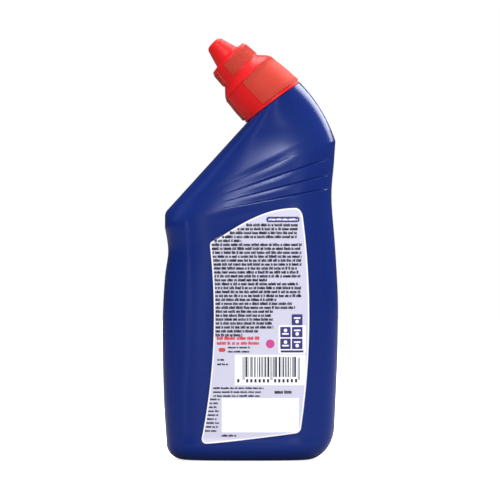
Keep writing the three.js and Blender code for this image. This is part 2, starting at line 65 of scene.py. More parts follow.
def linear(red: int, green: int, blue: int) -> tuple[float, float, float, float]:
    """A colour from 0 to 255 as the shader's linear colour."""
    def channel(value: int) -> float:
        """One channel, without the display's gamma."""
        share = value / 255
        return share / 12.92 if share <= 0.04045 else ((share + 0.055) / 1.055) ** 2.4
    return channel(red), channel(green), channel(blue), 1.0


def catmull(knots: list[tuple[float, float]], steps: int = 16) -> np.ndarray:
    """Points of a smooth curve through the knots.

    Args:
        knots: places that the curve runs through.
        steps: points for each stretch between two knots.

    Returns:
        An array of points, from the first knot to the last.
    """
    points = np.array([knots[0], *knots, knots[-1]], float)
    share = np.linspace(0, 1, steps, endpoint=False)[:, None]
    parts = []
    for before, start, end, after in zip(points, points[1:], points[2:], points[3:]):
        leave, arrive = (end - before) / 2, (after - start) / 2
        cubic = 2 * (start - end) + leave + arrive
        square = 3 * (end - start) - 2 * leave - arrive
        parts.append(((cubic * share + square) * share + leave) * share + start)
    return np.vstack([*parts, points[-1:]])


@dataclass(frozen=True)
class Neck:
    """The leaning neck's own frame: u runs across it, a along its axis."""

    x: float = 11.74
    height: float = 183.0
    lean: float = math.radians(45)
    rim_radius: float = 17.25
    rim_slope: float = math.tan(math.radians(8))
    radius: float = 12.5
    bore: float = 10.8
    length: float = 18.5
    ledge: float = 1.3

    def place(self, u: np.ndarray, y: np.ndarray, a: np.ndarray) -> np.ndarray:
        """Points of the neck's frame in the part's frame."""
        cosine, sine = math.cos(self.lean), math.sin(self.lean)
        x = self.x + cosine * np.asarray(u) - sine * np.asarray(a)
        z = self.height + sine * np.asarray(u) + cosine * np.asarray(a)
        return np.stack(np.broadcast_arrays(x, y, z), -1)

    def ring(self, radius: np.ndarray, angles: np.ndarray, a: np.ndarray) -> np.ndarray:
        """A ring about the axis, with a radius and a height for each angle."""
        return self.place(radius * np.cos(angles), radius * np.sin(angles), a)

    def rim_end(self, side: int) -> np.ndarray:
        """The rim's outermost point to the left or right, as x and z."""
        u = side * self.rim_radius
        return self.place(u, 0.0, -self.rim_slope * u)[[0, 2]]


@dataclass(frozen=True)
class BottleForm:
    """Outer form of the blow-moulded body: outlines, sections and relief."""

    neck: Neck = Neck()
    half_width: float = 45.0
    half_depth: float = 23.5
    squareness: float = 3.4
    waist: float = 2.8
    corner_inset: float = 1.1
    corner_height: float = 126.6
    corner_radius: float = 5.0
    crease_inset: float = 1.2
    crease_height: float = 163.5
    shoulder_radius: float = 78.0
    face_foot: float = 8.0
    push_up: float = 3.0
    standing_share: float = 0.8
    fan_x: float = -60.4
    fan_height: float = 119.7
    fan_top: float = 26.0
    groove_angles: tuple[float, ...] = (23.6, 18.9, 14.6, 10.8)
    lobe_rise: float = 0.25
    groove_depth: float = 0.5
    lobe_edge: float = 0.9
    lip_width: float = 0.36
    grip_foot: float = 7.6
    panel_recess: float = 0.5
    panel_left: float = -34.6
    panel_right: float = 37.4
    panel_edge: float = 2.6
    panel_floor: float = 9.0

    @staticmethod
    def foot(side: int, edge: float, run: float, rise: float) -> np.ndarray:
        """Quarter ellipse from the standing face up to the side.

        Args:
            side: -1 for left, 1 for right.
            edge: how far out the ellipse ends.
            run: its width.
            rise: its height.
        """
        turn = np.linspace(-math.pi / 2, 0, 40)
        return np.stack([side * (edge - run + run * np.cos(turn)), rise + rise * np.sin(turn)], -1)

    def left_outline(self) -> np.ndarray:
        """Left edge of the body in the XZ plane, from the foot to the rim."""
        wide, waist = self.half_width, self.waist
        corner = np.array([-(wide - self.corner_inset), self.corner_height])
        side = catmull([
            (-(wide - 2), 8), (-(wide - 0.6), 29), (-wide, 52), (-wide, 74),
            (-(wide - 0.42 * waist), 94), (-(wide - waist), 107), (corner[0], 119),
        ])
        end = self.neck.rim_end(-1)
        slope = (end - corner) / np.linalg.norm(end - corner)
        bend = (math.pi / 2 - math.atan2(slope[1], slope[0])) / 2
        setback = self.corner_radius * math.tan(bend)
        start, finish = corner - (0, setback), corner + slope * setback
        share = np.linspace(0, 1, 14)[:, None]
        fillet = (1 - share) ** 2 * start + 2 * share * (1 - share) * corner + share ** 2 * finish
        return np.vstack([self.foot(-1, wide - 2, 9, 8), side[1:], fillet, end])

    def right_outline(self) -> np.ndarray:
        """Right edge of the body in the XZ plane, from the foot to the rim."""
        wide, waist = self.half_width, self.waist
        crease = np.array([wide - self.crease_inset, self.crease_height])
        side = catmull([
            (wide - 1.7, 18), (wide - 0.6, 42), (wide, 62), (wide, 84), (wide - 0.5 * waist, 109.2),
            (wide - 1.15 * waist, 134.2), (wide - 0.7 * waist, 152.2), tuple(crease),
        ])
        end = self.neck.rim_end(1)
        chord = end - crease
        drop = math.sqrt(self.shoulder_radius ** 2 - chord @ chord / 4)
        inward = np.array([-chord[1], chord[0]]) / np.linalg.norm(chord)
        centre = crease + chord / 2 + inward * drop
        first = math.atan2(*(crease - centre)[::-1])
        last = math.atan2(*(end - centre)[::-1])
        turn = np.linspace(first, last, 40)[1:]
        arc = centre + self.shoulder_radius * np.stack([np.cos(turn), np.sin(turn)], -1)
        return np.vstack([self.foot(1, wide - 1.7, 14, 18), side[1:], arc])

    def ends(self, outline: np.ndarray, stages: np.ndarray) -> np.ndarray:
        """Places on one outline where the sections end.

        Args:
            outline: the left or right outline.
            stages: 0 to 1 climbs level, 1 to 2 fans through the grip, 2 to 3 turns to the rim.

        Returns:
            x and z for each stage.
        """
        steps = np.linalg.norm(np.diff(outline, axis=0), axis=1)
        lengths = np.concatenate([[0], np.cumsum(steps)])
        angles = np.arctan2(outline[:, 1] - self.fan_height, outline[:, 0] - self.fan_x)
        top = math.radians(self.fan_top)
        start = np.interp(top, angles, lengths)
        level = np.interp(np.minimum(stages, 1) * self.fan_height, outline[:, 1], lengths)
        fanned = np.interp(np.clip(stages - 1, 0, 1) * top, angles, lengths)
        turned = mix(start, lengths[-1], np.clip(stages - 2, 0, 1))
        place = np.where(stages <= 1, level, np.where(stages <= 2, fanned, turned))
        return np.stack([np.interp(place, lengths, outline[:, i]) for i in (0, 1)], -1)

    def sections(self, stages: np.ndarray) -> tuple[np.ndarray, np.ndarray, np.ndarray, np.ndarray]:
        """Left end, right end, half depth and squareness of the section at each stage."""
        height = np.clip(stages, 0, 1) * self.fan_height
        fall = np.clip((self.face_foot - height) / self.face_foot, 0, 1)
        footed = self.half_depth - self.face_foot * (1 - np.sqrt(1 - fall ** 2))
        turn = smooth(stages, 1, 3)
        thin = smooth(stages, 1, 2.55)
        depth = np.where(stages <= 1, footed, mix(self.half_depth, self.neck.rim_radius, thin))
        left = self.ends(self.left_outline(), stages)
        right = self.ends(self.right_outline(), stages)
        return left, right, depth, mix(self.squareness, 2.0, turn)

    def fan_angle(self, x: np.ndarray, z: np.ndarray) -> np.ndarray:
        """Angle about the point that the grip's ridges fan out from, in degrees."""
        return np.degrees(np.arctan2(z - self.fan_height, x - self.fan_x))

    def grip_relief(self, x: np.ndarray, z: np.ndarray) -> np.ndarray:
        """Lobes that end in a steep lip at the top and sink gently to the next groove."""
        angle = self.fan_angle(x, z)
        edges = [*self.groove_angles, self.grip_foot]
        relief = np.zeros_like(angle)
        step = self.lobe_rise + self.groove_depth
        fading = smooth(x, 6, 25)
        for top, bottom in zip(edges, edges[1:]):
            share = np.clip((top - angle) / (top - bottom), 0, 1)
            inside = (angle <= top) & (angle > bottom)
            lip = smooth(share * (top - bottom), 0, self.lip_width)
            if top == edges[0]:
                lip = mix(lip, 1.0, fading)
            crown = mix(self.lobe_edge, 1.0, np.sin(math.pi * np.clip(share / 0.8, 0, 1)) ** 2)
            if bottom == edges[-1]:
                lobe = (step * lip * crown - self.groove_depth) * (1 - smooth(share, 0.2, 1.0))
            else:
                fall = 1 - 0.15 * smooth(share, 0.35, 0.9) - 0.85 * smooth(share, 0.92, 1.0)
                lobe = step * lip * fall * crown - self.groove_depth
            relief = np.where(inside, lobe, relief)
        first = edges[0]
        dip = -0.6 * self.groove_depth * (1 - smooth(angle, first, first + 2.2))
        level = self.lobe_edge * step - self.groove_depth
        above = mix(dip, level * (1 - smooth(angle, first, first + 4)), fading)
        relief = np.where(angle > first, above, relief)
        full = 0.16 + 0.84 * smooth(x, -12, 12)
        ends = smooth(x, -17, -13) * (1 - smooth(x, 35.0, 42.0))
        return relief * full * ends

    def panel_relief(self, x: np.ndarray, z: np.ndarray) -> np.ndarray:
        """The label panel's shallow recess, with a bowed left edge."""
        bow = 2.0 * np.clip(1 - ((z - 86) / 48) ** 2, 0, 1)
        left = self.panel_left + bow
        across = smooth(x - left, 0, self.panel_edge)
        across = across * (1 - smooth(x, self.panel_right - self.panel_edge, self.panel_right))
        up = smooth(z, self.panel_floor, self.panel_floor + 3)
        spread = mix(9.0, 4.2, smooth(x, -26, 4))
        down = 1 - smooth((self.fan_angle(x, z) - 10.4 + spread) / spread, 0, 1)
        return -self.panel_recess * across * up * down

    def relief(self, x: np.ndarray, z: np.ndarray) -> np.ndarray:
        """All relief on the two faces, outwards."""
        return self.grip_relief(x, z) + self.panel_relief(x, z)

    def loops(self, stages: np.ndarray, angles: np.ndarray, inset: float = 0.0) -> np.ndarray:
        """Closed loops of the body's skin.

        Args:
            stages: where the loops lie, from foot to rim.
            angles: directions round a loop.
            inset: how far inside the outer skin the loops lie, with the relief left out.

        Returns:
            An array of loops by points by 3, in millimetres.
        """
        left, right, depth, square = (np.asarray(part) for part in self.sections(stages))
        middle, reach = (left + right) / 2, (right - left) / 2
        if inset:
            size = np.linalg.norm(reach, axis=1, keepdims=True)
            reach = reach * (size - inset) / size
            depth = depth - inset - self.panel_recess
        cosine, sine = np.cos(angles), np.sin(angles)
        power = square[:, None]
        stretch = (np.abs(cosine) ** power + np.abs(sine) ** power) ** (-1 / power)
        across, out = cosine * stretch, sine * stretch
        x = middle[:, :1] + reach[:, :1] * across
        z = middle[:, 1:] + reach[:, 1:] * across
        y = depth[:, None] * out
        if not inset:
            y = y + np.sign(sine) * smooth(np.abs(out), 0.4, 0.68) * self.relief(x, z)
            seam = 0.07 * np.exp(-(y / 0.32) ** 2) * np.sign(cosine)
            x = x + seam * smooth(z, 4, 12)
        return np.stack([x, y, z], -1)

    def depth_at(self, x: np.ndarray, z: np.ndarray) -> np.ndarray:
        """Half depth of the skin at places on a face, seen from the front."""
        x, z = np.asarray(x, float), np.asarray(z, float)
        low, high = np.full(x.shape, 0.02), np.full(x.shape, 2.6)
        for _ in range(26):
            stage = (low + high) / 2
            left, right, _, _ = self.sections(stage)
            reach = right - left
            above = reach[..., 0] * (z - left[..., 1]) - reach[..., 1] * (x - left[..., 0])
            low, high = np.where(above > 0, stage, low), np.where(above > 0, high, stage)
        left, right, depth, square = self.sections(low)
        middle = (left[..., 0] + right[..., 0]) / 2
        share = np.abs(x - middle) / ((right[..., 0] - left[..., 0]) / 2)
        share = np.clip(share, 0, 0.999)
        return depth * (1 - share ** square) ** (1 / square) + self.relief(x, z)


def closed_mesh(name: str, loops: np.ndarray, hubs: tuple[np.ndarray, np.ndarray],
                sharp: float = 32) -> bpy.types.Object:
    """A closed skin over loops with equal point counts, its two ends closed by fans.

    Args:
        name: the object's name.
        loops: loops by points by 3, in millimetres, running round anticlockwise seen from their end.
        hubs: the middle points that close the first and last loop.
        sharp: the angle in degrees past which an edge is shaded as sharp.

    Returns:
        The new object, in metres.
    """
    rows, count, _ = loops.shape
    points = np.vstack([loops.reshape(-1, 3), hubs[0], hubs[1]]) * MM
    near = np.arange(rows - 1)[:, None] * count + np.arange(count)
    beside = np.arange(rows - 1)[:, None] * count + (np.arange(count) + 1) % count
    quads = np.stack([near, beside, beside + count, near + count], -1).reshape(-1, 4).tolist()
    ring, after = np.arange(count), (np.arange(count) + 1) % count
    last = (rows - 1) * count
    first_fan = np.stack([np.full(count, rows * count), after, ring], -1).tolist()
    last_fan = np.stack([np.full(count, rows * count + 1), last + ring, last + after], -1).tolist()
    return new_object(name, points, quads + first_fan + last_fan, sharp)


def new_object(name: str, points: np.ndarray, faces: list, sharp: float = 32) -> bpy.types.Object:
    """A mesh object at the origin, shaded smooth with its sharp edges marked."""
    mesh = bpy.data.meshes.new(name)
    mesh.from_pydata(points.tolist(), [], faces)
    mesh.update()
    mesh.shade_smooth()
    mesh.set_sharp_from_angle(angle=math.radians(sharp))
    made = bpy.data.objects.new(name, mesh)
    bpy.context.scene.collection.objects.link(made)
    return made


def closed_plate(grid: np.ndarray, outer: np.ndarray, inner: np.ndarray, side: int,
                 start: int = 0) -> tuple[np.ndarray, list]:
    """Points and faces of a thin plate that follows a face of the bottle.

    Args:
        grid: rows by columns by 2, places in x and z.
        outer: half depth of the plate's outer face at each place.
        inner: half depth of its inner face.
        side: -1 for the face towards -Y, 1 for the face towards +Y.
        start: the number of the first point.

    Returns:
        The points in millimetres, and the faces as lists of point numbers.
    """
    rows, columns, _ = grid.shape
    shells = [np.stack([grid[..., 0], side * depth, grid[..., 1]], -1) for depth in (outer, inner)]
    points = np.vstack([shell.reshape(-1, 3) for shell in shells])
    number = np.arange(rows * columns).reshape(rows, columns)
    quads = np.stack([number[:-1, :-1], number[:-1, 1:], number[1:, 1:], number[1:, :-1]], -1)
    quads = quads.reshape(-1, 4)
    edge = np.concatenate([number[0, :-1], number[:-1, -1], number[-1, :0:-1], number[:0:-1, 0]])
    after, back = np.roll(edge, -1), rows * columns
    walls = np.stack([edge, edge + back, after + back, after], -1)
    faces = np.vstack([quads, quads[:, ::-1] + back, walls])
    if side > 0:
        faces = faces[:, ::-1]
    return points, (faces + start).tolist()


class Shape(Enum):
    """Small repeated forms that geometry nodes set out."""

    BLOCK = "block"
    BAR = "bar"


@dataclass(frozen=True)
class Repeater:
    """Sets one small form at many places, with a size and a turn for each place."""

    shape: Shape
    sides: int = 8

    def tree(self) -> bpy.types.NodeTree:
        """The geometry nodes that place the form, built once for each form."""
        name = f"placed_{self.shape.value}s"
        if name in bpy.data.node_groups:
            return bpy.data.node_groups[name]
        tree = bpy.data.node_groups.new(name, "GeometryNodeTree")
        for label, kind in (("Places", "Geometry"), ("Thickness", "Float"), ("Finish", "Material")):
            tree.interface.new_socket(name=label, in_out="INPUT", socket_type=f"NodeSocket{kind}")
        tree.interface.new_socket(name="Pieces", in_out="OUTPUT", socket_type="NodeSocketGeometry")
        nodes, link = tree.nodes, tree.links.new
        given, out = nodes.new("NodeGroupInput"), nodes.new("NodeGroupOutput")
        if self.shape is Shape.BLOCK:
            form = nodes.new("GeometryNodeMeshCube")
        else:
            form = nodes.new("GeometryNodeMeshCylinder")
            form.inputs["Vertices"].default_value = self.sides
            form.inputs["Radius"].default_value = 0.5
            form.inputs["Depth"].default_value = 1.0
        size, turn = (nodes.new("GeometryNodeInputNamedAttribute") for _ in range(2))
        for node, label in ((size, "piece_size"), (turn, "piece_turn")):
            node.data_type = "FLOAT_VECTOR"
            node.inputs["Name"].default_value = label
        scale = nodes.new("ShaderNodeVectorMath")
        scale.operation = "MULTIPLY"
        combine = nodes.new("ShaderNodeCombineXYZ")
        combine.inputs["X"].default_value = 1.0
        combine.inputs["Z"].default_value = 1.0
        place = nodes.new("GeometryNodeInstanceOnPoints")
        real, finish = nodes.new("GeometryNodeRealizeInstances"), nodes.new("GeometryNodeSetMaterial")
        link(given.outputs["Places"], place.inputs["Points"])
        link(given.outputs["Thickness"], combine.inputs["Y"])
        link(form.outputs["Mesh"], place.inputs["Instance"])
        link(next(socket for socket in size.outputs if socket.enabled), scale.inputs[0])
        link(combine.outputs["Vector"], scale.inputs[1])
        link(scale.outputs["Vector"], place.inputs["Scale"])
        link(next(socket for socket in turn.outputs if socket.enabled), place.inputs["Rotation"])
        link(place.outputs["Instances"], real.inputs["Geometry"])
        link(real.outputs["Geometry"], finish.inputs["Geometry"])
        link(given.outputs["Finish"], finish.inputs["Material"])
        link(finish.outputs["Geometry"], out.inputs["Pieces"])
        return tree

    def build(self, name: str, places: np.ndarray, sizes: np.ndarray, turns: np.ndarray,
              finish: bpy.types.Material) -> bpy.types.Object:
        """One mesh with the form at every place.

        Args:
            name: the object's name.
            places: middle points, in millimetres.
            sizes: size of each copy along its own X, Y and Z, in millimetres.
            turns: Euler angles of each copy.
            finish: its material.

        Returns:
            A plain mesh object with no modifier left on it.
        """
        mesh = bpy.data.meshes.new(name)
        mesh.from_pydata((np.asarray(places) * MM).tolist(), [], [])
        for label, values in (("piece_size", np.asarray(sizes) * MM), ("piece_turn", turns)):
            attribute = mesh.attributes.new(label, "FLOAT_VECTOR", "POINT")
            attribute.data.foreach_set("vector", np.asarray(values, np.float32).ravel())
        made = bpy.data.objects.new(name, mesh)
        bpy.context.scene.collection.objects.link(made)
        modifier = made.modifiers.new("placed", "NODES")
        modifier.node_group = self.tree()
        values = {"Thickness": 1.0, "Finish": finish}
        for item in modifier.node_group.interface.items_tree:
            if item.in_out == "INPUT" and item.name in values:
                modifier[item.identifier] = values[item.name]
        depsgraph = bpy.context.evaluated_depsgraph_get()
        solid = bpy.data.meshes.new_from_object(made.evaluated_get(depsgraph))
        made.modifiers.clear()
        made.data = solid
        solid.name = name
        return made


def moulded_skin() -> bpy.types.NodeTree:
    """Shader node group of a moulded skin: flow shade, roughness drift and fine grain."""
    name = "moulded_skin"
    if name in bpy.data.node_groups:
        return bpy.data.node_groups[name]
    tree = bpy.data.node_groups.new(name, "ShaderNodeTree")
    for label, kind in (("Color", "Color"), ("Shade Drift", "Float"), ("Roughness", "Float"),
                        ("Roughness Drift", "Float"), ("Grain Size", "Float"), ("Flow Size", "Float")):
        tree.interface.new_socket(name=label, in_out="INPUT", socket_type=f"NodeSocket{kind}")
    for label, kind in (("Color", "Color"), ("Roughness", "Float"), ("Height", "Float")):
        tree.interface.new_socket(name=label, in_out="OUTPUT", socket_type=f"NodeSocket{kind}")
    nodes, link = tree.nodes, tree.links.new
    given, out = nodes.new("NodeGroupInput"), nodes.new("NodeGroupOutput")
    place = nodes.new("ShaderNodeTexCoord")
    flow, grain = nodes.new("ShaderNodeTexNoise"), nodes.new("ShaderNodeTexNoise")
    flow.inputs["Detail"].default_value = 3.0
    grain.inputs["Detail"].default_value = 2.0
    for noise, label in ((flow, "Flow Size"), (grain, "Grain Size")):
        link(place.outputs["Object"], noise.inputs["Vector"])
        link(given.outputs[label], noise.inputs["Scale"])
    centred = nodes.new("ShaderNodeMath")
    centred.operation = "SUBTRACT"
    centred.inputs[1].default_value = 0.5
    link(flow.outputs["Fac"], centred.inputs[0])
    shade, rough = (nodes.new("ShaderNodeMath") for _ in range(2))
    for node, drift in ((shade, "Shade Drift"), (rough, "Roughness Drift")):
        node.operation = "MULTIPLY_ADD"
        link(centred.outputs[0], node.inputs[0])
        link(given.outputs[drift], node.inputs[1])
    shade.inputs[2].default_value = 1.0
    link(given.outputs["Roughness"], rough.inputs[2])
    tint = nodes.new("ShaderNodeVectorMath")
    tint.operation = "SCALE"
    link(given.outputs["Color"], tint.inputs[0])
    link(shade.outputs[0], tint.inputs["Scale"])
    link(tint.outputs["Vector"], out.inputs["Color"])
    link(rough.outputs[0], out.inputs["Roughness"])
    link(grain.outputs["Fac"], out.inputs["Height"])
    return tree


@dataclass(frozen=True)
class Finish:
    """A moulded or printed surface: its colour, gloss and grain."""

    name: str
    colour: tuple[int, int, int]
    roughness: float = 0.35
    roughness_drift: float = 0.08
    shade_drift: float = 0.08
    grain_size: float = 900.0
    grain_height: float = 0.00002
    flow_size: float = 26.0
    specular: float = 0.5
    subsurface: float = 0.0
    transmission: float = 0.0
    gloss_tint: tuple[float, float, float] = (1.0, 1.0, 1.0)

    def shader(self) -> tuple[bpy.types.Material, bpy.types.Node, bpy.types.Node]:
        """The material, its shader node and its skin group node."""
        material = bpy.data.materials.new(self.name)
        material.use_nodes = True
        nodes, link = material.node_tree.nodes, material.node_tree.links.new
        body = nodes["Principled BSDF"]
        skin = nodes.new("ShaderNodeGroup")
        skin.node_tree = moulded_skin()
        values = {"Color": linear(*self.colour), "Shade Drift": self.shade_drift,
                  "Roughness": self.roughness, "Roughness Drift": self.roughness_drift,
                  "Grain Size": self.grain_size, "Flow Size": self.flow_size}
        for label, value in values.items():
            skin.inputs[label].default_value = value
        bump = nodes.new("ShaderNodeBump")
        bump.inputs["Distance"].default_value = self.grain_height
        link(skin.outputs["Color"], body.inputs["Base Color"])
        link(skin.outputs["Roughness"], body.inputs["Roughness"])
        link(skin.outputs["Height"], bump.inputs["Height"])
        link(bump.outputs["Normal"], body.inputs["Normal"])
        body.inputs["Specular IOR Level"].default_value = self.specular
        body.inputs["Specular Tint"].default_value = (*self.gloss_tint, 1)
        body.inputs["Transmission Weight"].default_value = self.transmission
        if self.subsurface:
            body.inputs["Subsurface Weight"].default_value = self.subsurface
            body.inputs["Subsurface Scale"].default_value = 0.001
        material.diffuse_color = linear(*self.colour)
        return material, body, skin

    def make(self) -> bpy.types.Material:
        """The finished material."""
        return self.shader()[0]


@dataclass(frozen=True)
class Ink(Finish):
    """Flat printing ink."""

    roughness: float = 0.45
    roughness_drift: float = 0.05
    shade_drift: float = 0.06
    grain_size: float = 1500.0
    grain_height: float = 0.000004
    flow_size: float = 60.0


@dataclass(frozen=True)
class LabelFilm(Finish):
    """Printed film: a pale field in a white border, with a dark painted shadow line at its edge."""

    roughness: float = 0.42
    roughness_drift: float = 0.05
    shade_drift: float = 0.02
    grain_size: float = 1200.0
    grain_height: float = 0.000008
    flow_size: float = 18.0
    specular: float = 0.4
    field: tuple[int, int, int] = (201, 200, 219)
    border: tuple[int, int, int] = (238, 237, 243)
    edge_shadow_width: float = 0.28
    border_width: float = 0.95

    def make(self) -> bpy.types.Material:
        """The material, whose zones follow the film's own distance to its edge."""
        material, _, skin = self.shader()
        nodes, link = material.node_tree.nodes, material.node_tree.links.new
        edge = nodes.new("ShaderNodeAttribute")
        edge.attribute_name = "edge_distance"
        colour = None
        # The outermost zone, in the film's own dark colour, is a painted shadow line along the film's edge.
        steps = ((self.edge_shadow_width, self.colour, self.border), (self.border_width, None, self.field))
        for width, outside, inside in steps:
            past = nodes.new("ShaderNodeMapRange")
            past.inputs["From Min"].default_value = width - 0.06
            past.inputs["From Max"].default_value = width + 0.06
            link(edge.outputs["Fac"], past.inputs["Value"])
            zone = nodes.new("ShaderNodeMix")
            zone.data_type = "RGBA"
            link(past.outputs["Result"], zone.inputs["Factor"])
            if colour is None:
                zone.inputs["A"].default_value = linear(*outside)
            else:
                link(colour, zone.inputs["A"])
            zone.inputs["B"].default_value = linear(*inside)
            colour = next(socket for socket in zone.outputs if socket.enabled)
        link(colour, skin.inputs["Color"])
        return material


@dataclass(frozen=True)
class PaddedRed(Finish):
    """Red cap plastic, matt on its ribbed pads; the pads' paler red is partly their matt ribbed finish and
    partly a painted highlight where they face the light.
    """

    pad_lit_colour: tuple[int, int, int] = (188, 48, 30)
    pad_roughness: float = 0.62

    def make(self) -> bpy.types.Material:
        """The material, whose pads follow the shell's own mask."""
        material, _, skin = self.shader()
        nodes, link = material.node_tree.nodes, material.node_tree.links.new
        pads, tint, gloss = (nodes.new(kind) for kind in
                             ("ShaderNodeAttribute", "ShaderNodeMix", "ShaderNodeMapRange"))
        pads.attribute_name = "pad_mask"
        tint.data_type = "RGBA"
        tint.inputs["A"].default_value = linear(*self.colour)
        # The pads' paler red is partly the matt ribbed finish and partly a painted highlight of pads facing
        # the light.
        tint.inputs["B"].default_value = linear(*self.pad_lit_colour)
        gloss.inputs["To Min"].default_value = self.roughness
        gloss.inputs["To Max"].default_value = self.pad_roughness
        link(pads.outputs["Fac"], tint.inputs["Factor"])
        link(pads.outputs["Fac"], gloss.inputs["Value"])
        link(next(socket for socket in tint.outputs if socket.enabled), skin.inputs["Color"])
        link(gloss.outputs["Result"], skin.inputs["Roughness"])
        return material


BLUE_SHELL = Finish("blue_shell", (7, 35, 109), roughness=0.25, roughness_drift=0.05, shade_drift=0.1,
                    grain_size=700, grain_height=0.000014, flow_size=22, gloss_tint=(0.72, 0.78, 1.0))
# The pads and ribs are paler reds: partly the matt ribbed finish, partly a painted highlight where the pads
# face the light.
RED_CAP = PaddedRed("red_cap", (214, 10, 15), roughness=0.42, roughness_drift=0.06, shade_drift=0.06,
                    grain_height=0.00001, flow_size=40, specular=0.3, subsurface=0.08)
RED_RIBS = Finish("red_ribs", (182, 54, 34), roughness=0.62, grain_size=1500, grain_height=0.00004,
                  flow_size=60, specular=0.4, subsurface=0.1)
# Each film's own colour is the dark painted shadow line along its edge.
BACK_FILM = LabelFilm("back_film", (20, 28, 84))
FRONT_FILM = LabelFilm("front_film", (20, 28, 84))
NAVY_INK = Ink("navy_ink", (17, 18, 46))
NAVY_FIELD = Ink("navy_field", (50, 46, 120))
RED_INK = Ink("red_ink", (206, 62, 74))
WHITE_INK = Ink("white_ink", (240, 240, 245), shade_drift=0.01)
BRIGHT_INK = Ink("bright_ink", (200, 60, 140), shade_drift=0.04)
NATURAL_PLASTIC = Finish("natural_plastic", (226, 228, 230), roughness=0.38, roughness_drift=0.06,
                         shade_drift=0.03, grain_height=0.00001, flow_size=50, subsurface=0.4)
FOAM = Finish("foam_wad", (240, 240, 238), roughness=0.8, shade_drift=0.05, grain_size=2600,
              grain_height=0.00012, flow_size=90)
BLUE_LIQUID = Finish("blue_liquid", (30, 60, 190), roughness=0.06, roughness_drift=0.01,
                     shade_drift=0.04, grain_size=60, grain_height=0.000002, flow_size=12,
                     transmission=0.75)


def dress(piece: bpy.types.Object, finish: bpy.types.Material, body: str, slot: str,
          *nodes: str) -> None:
    """Give a piece its finish and its body, and hide the CAD nodes that it stands for."""
    piece.data.materials.clear()
    piece.data.materials.append(finish)
    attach(piece, body)
    if nodes:
        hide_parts(*nodes)
    LOG.info("%s: %d faces on %s", piece.name, len(piece.data.polygons), body)


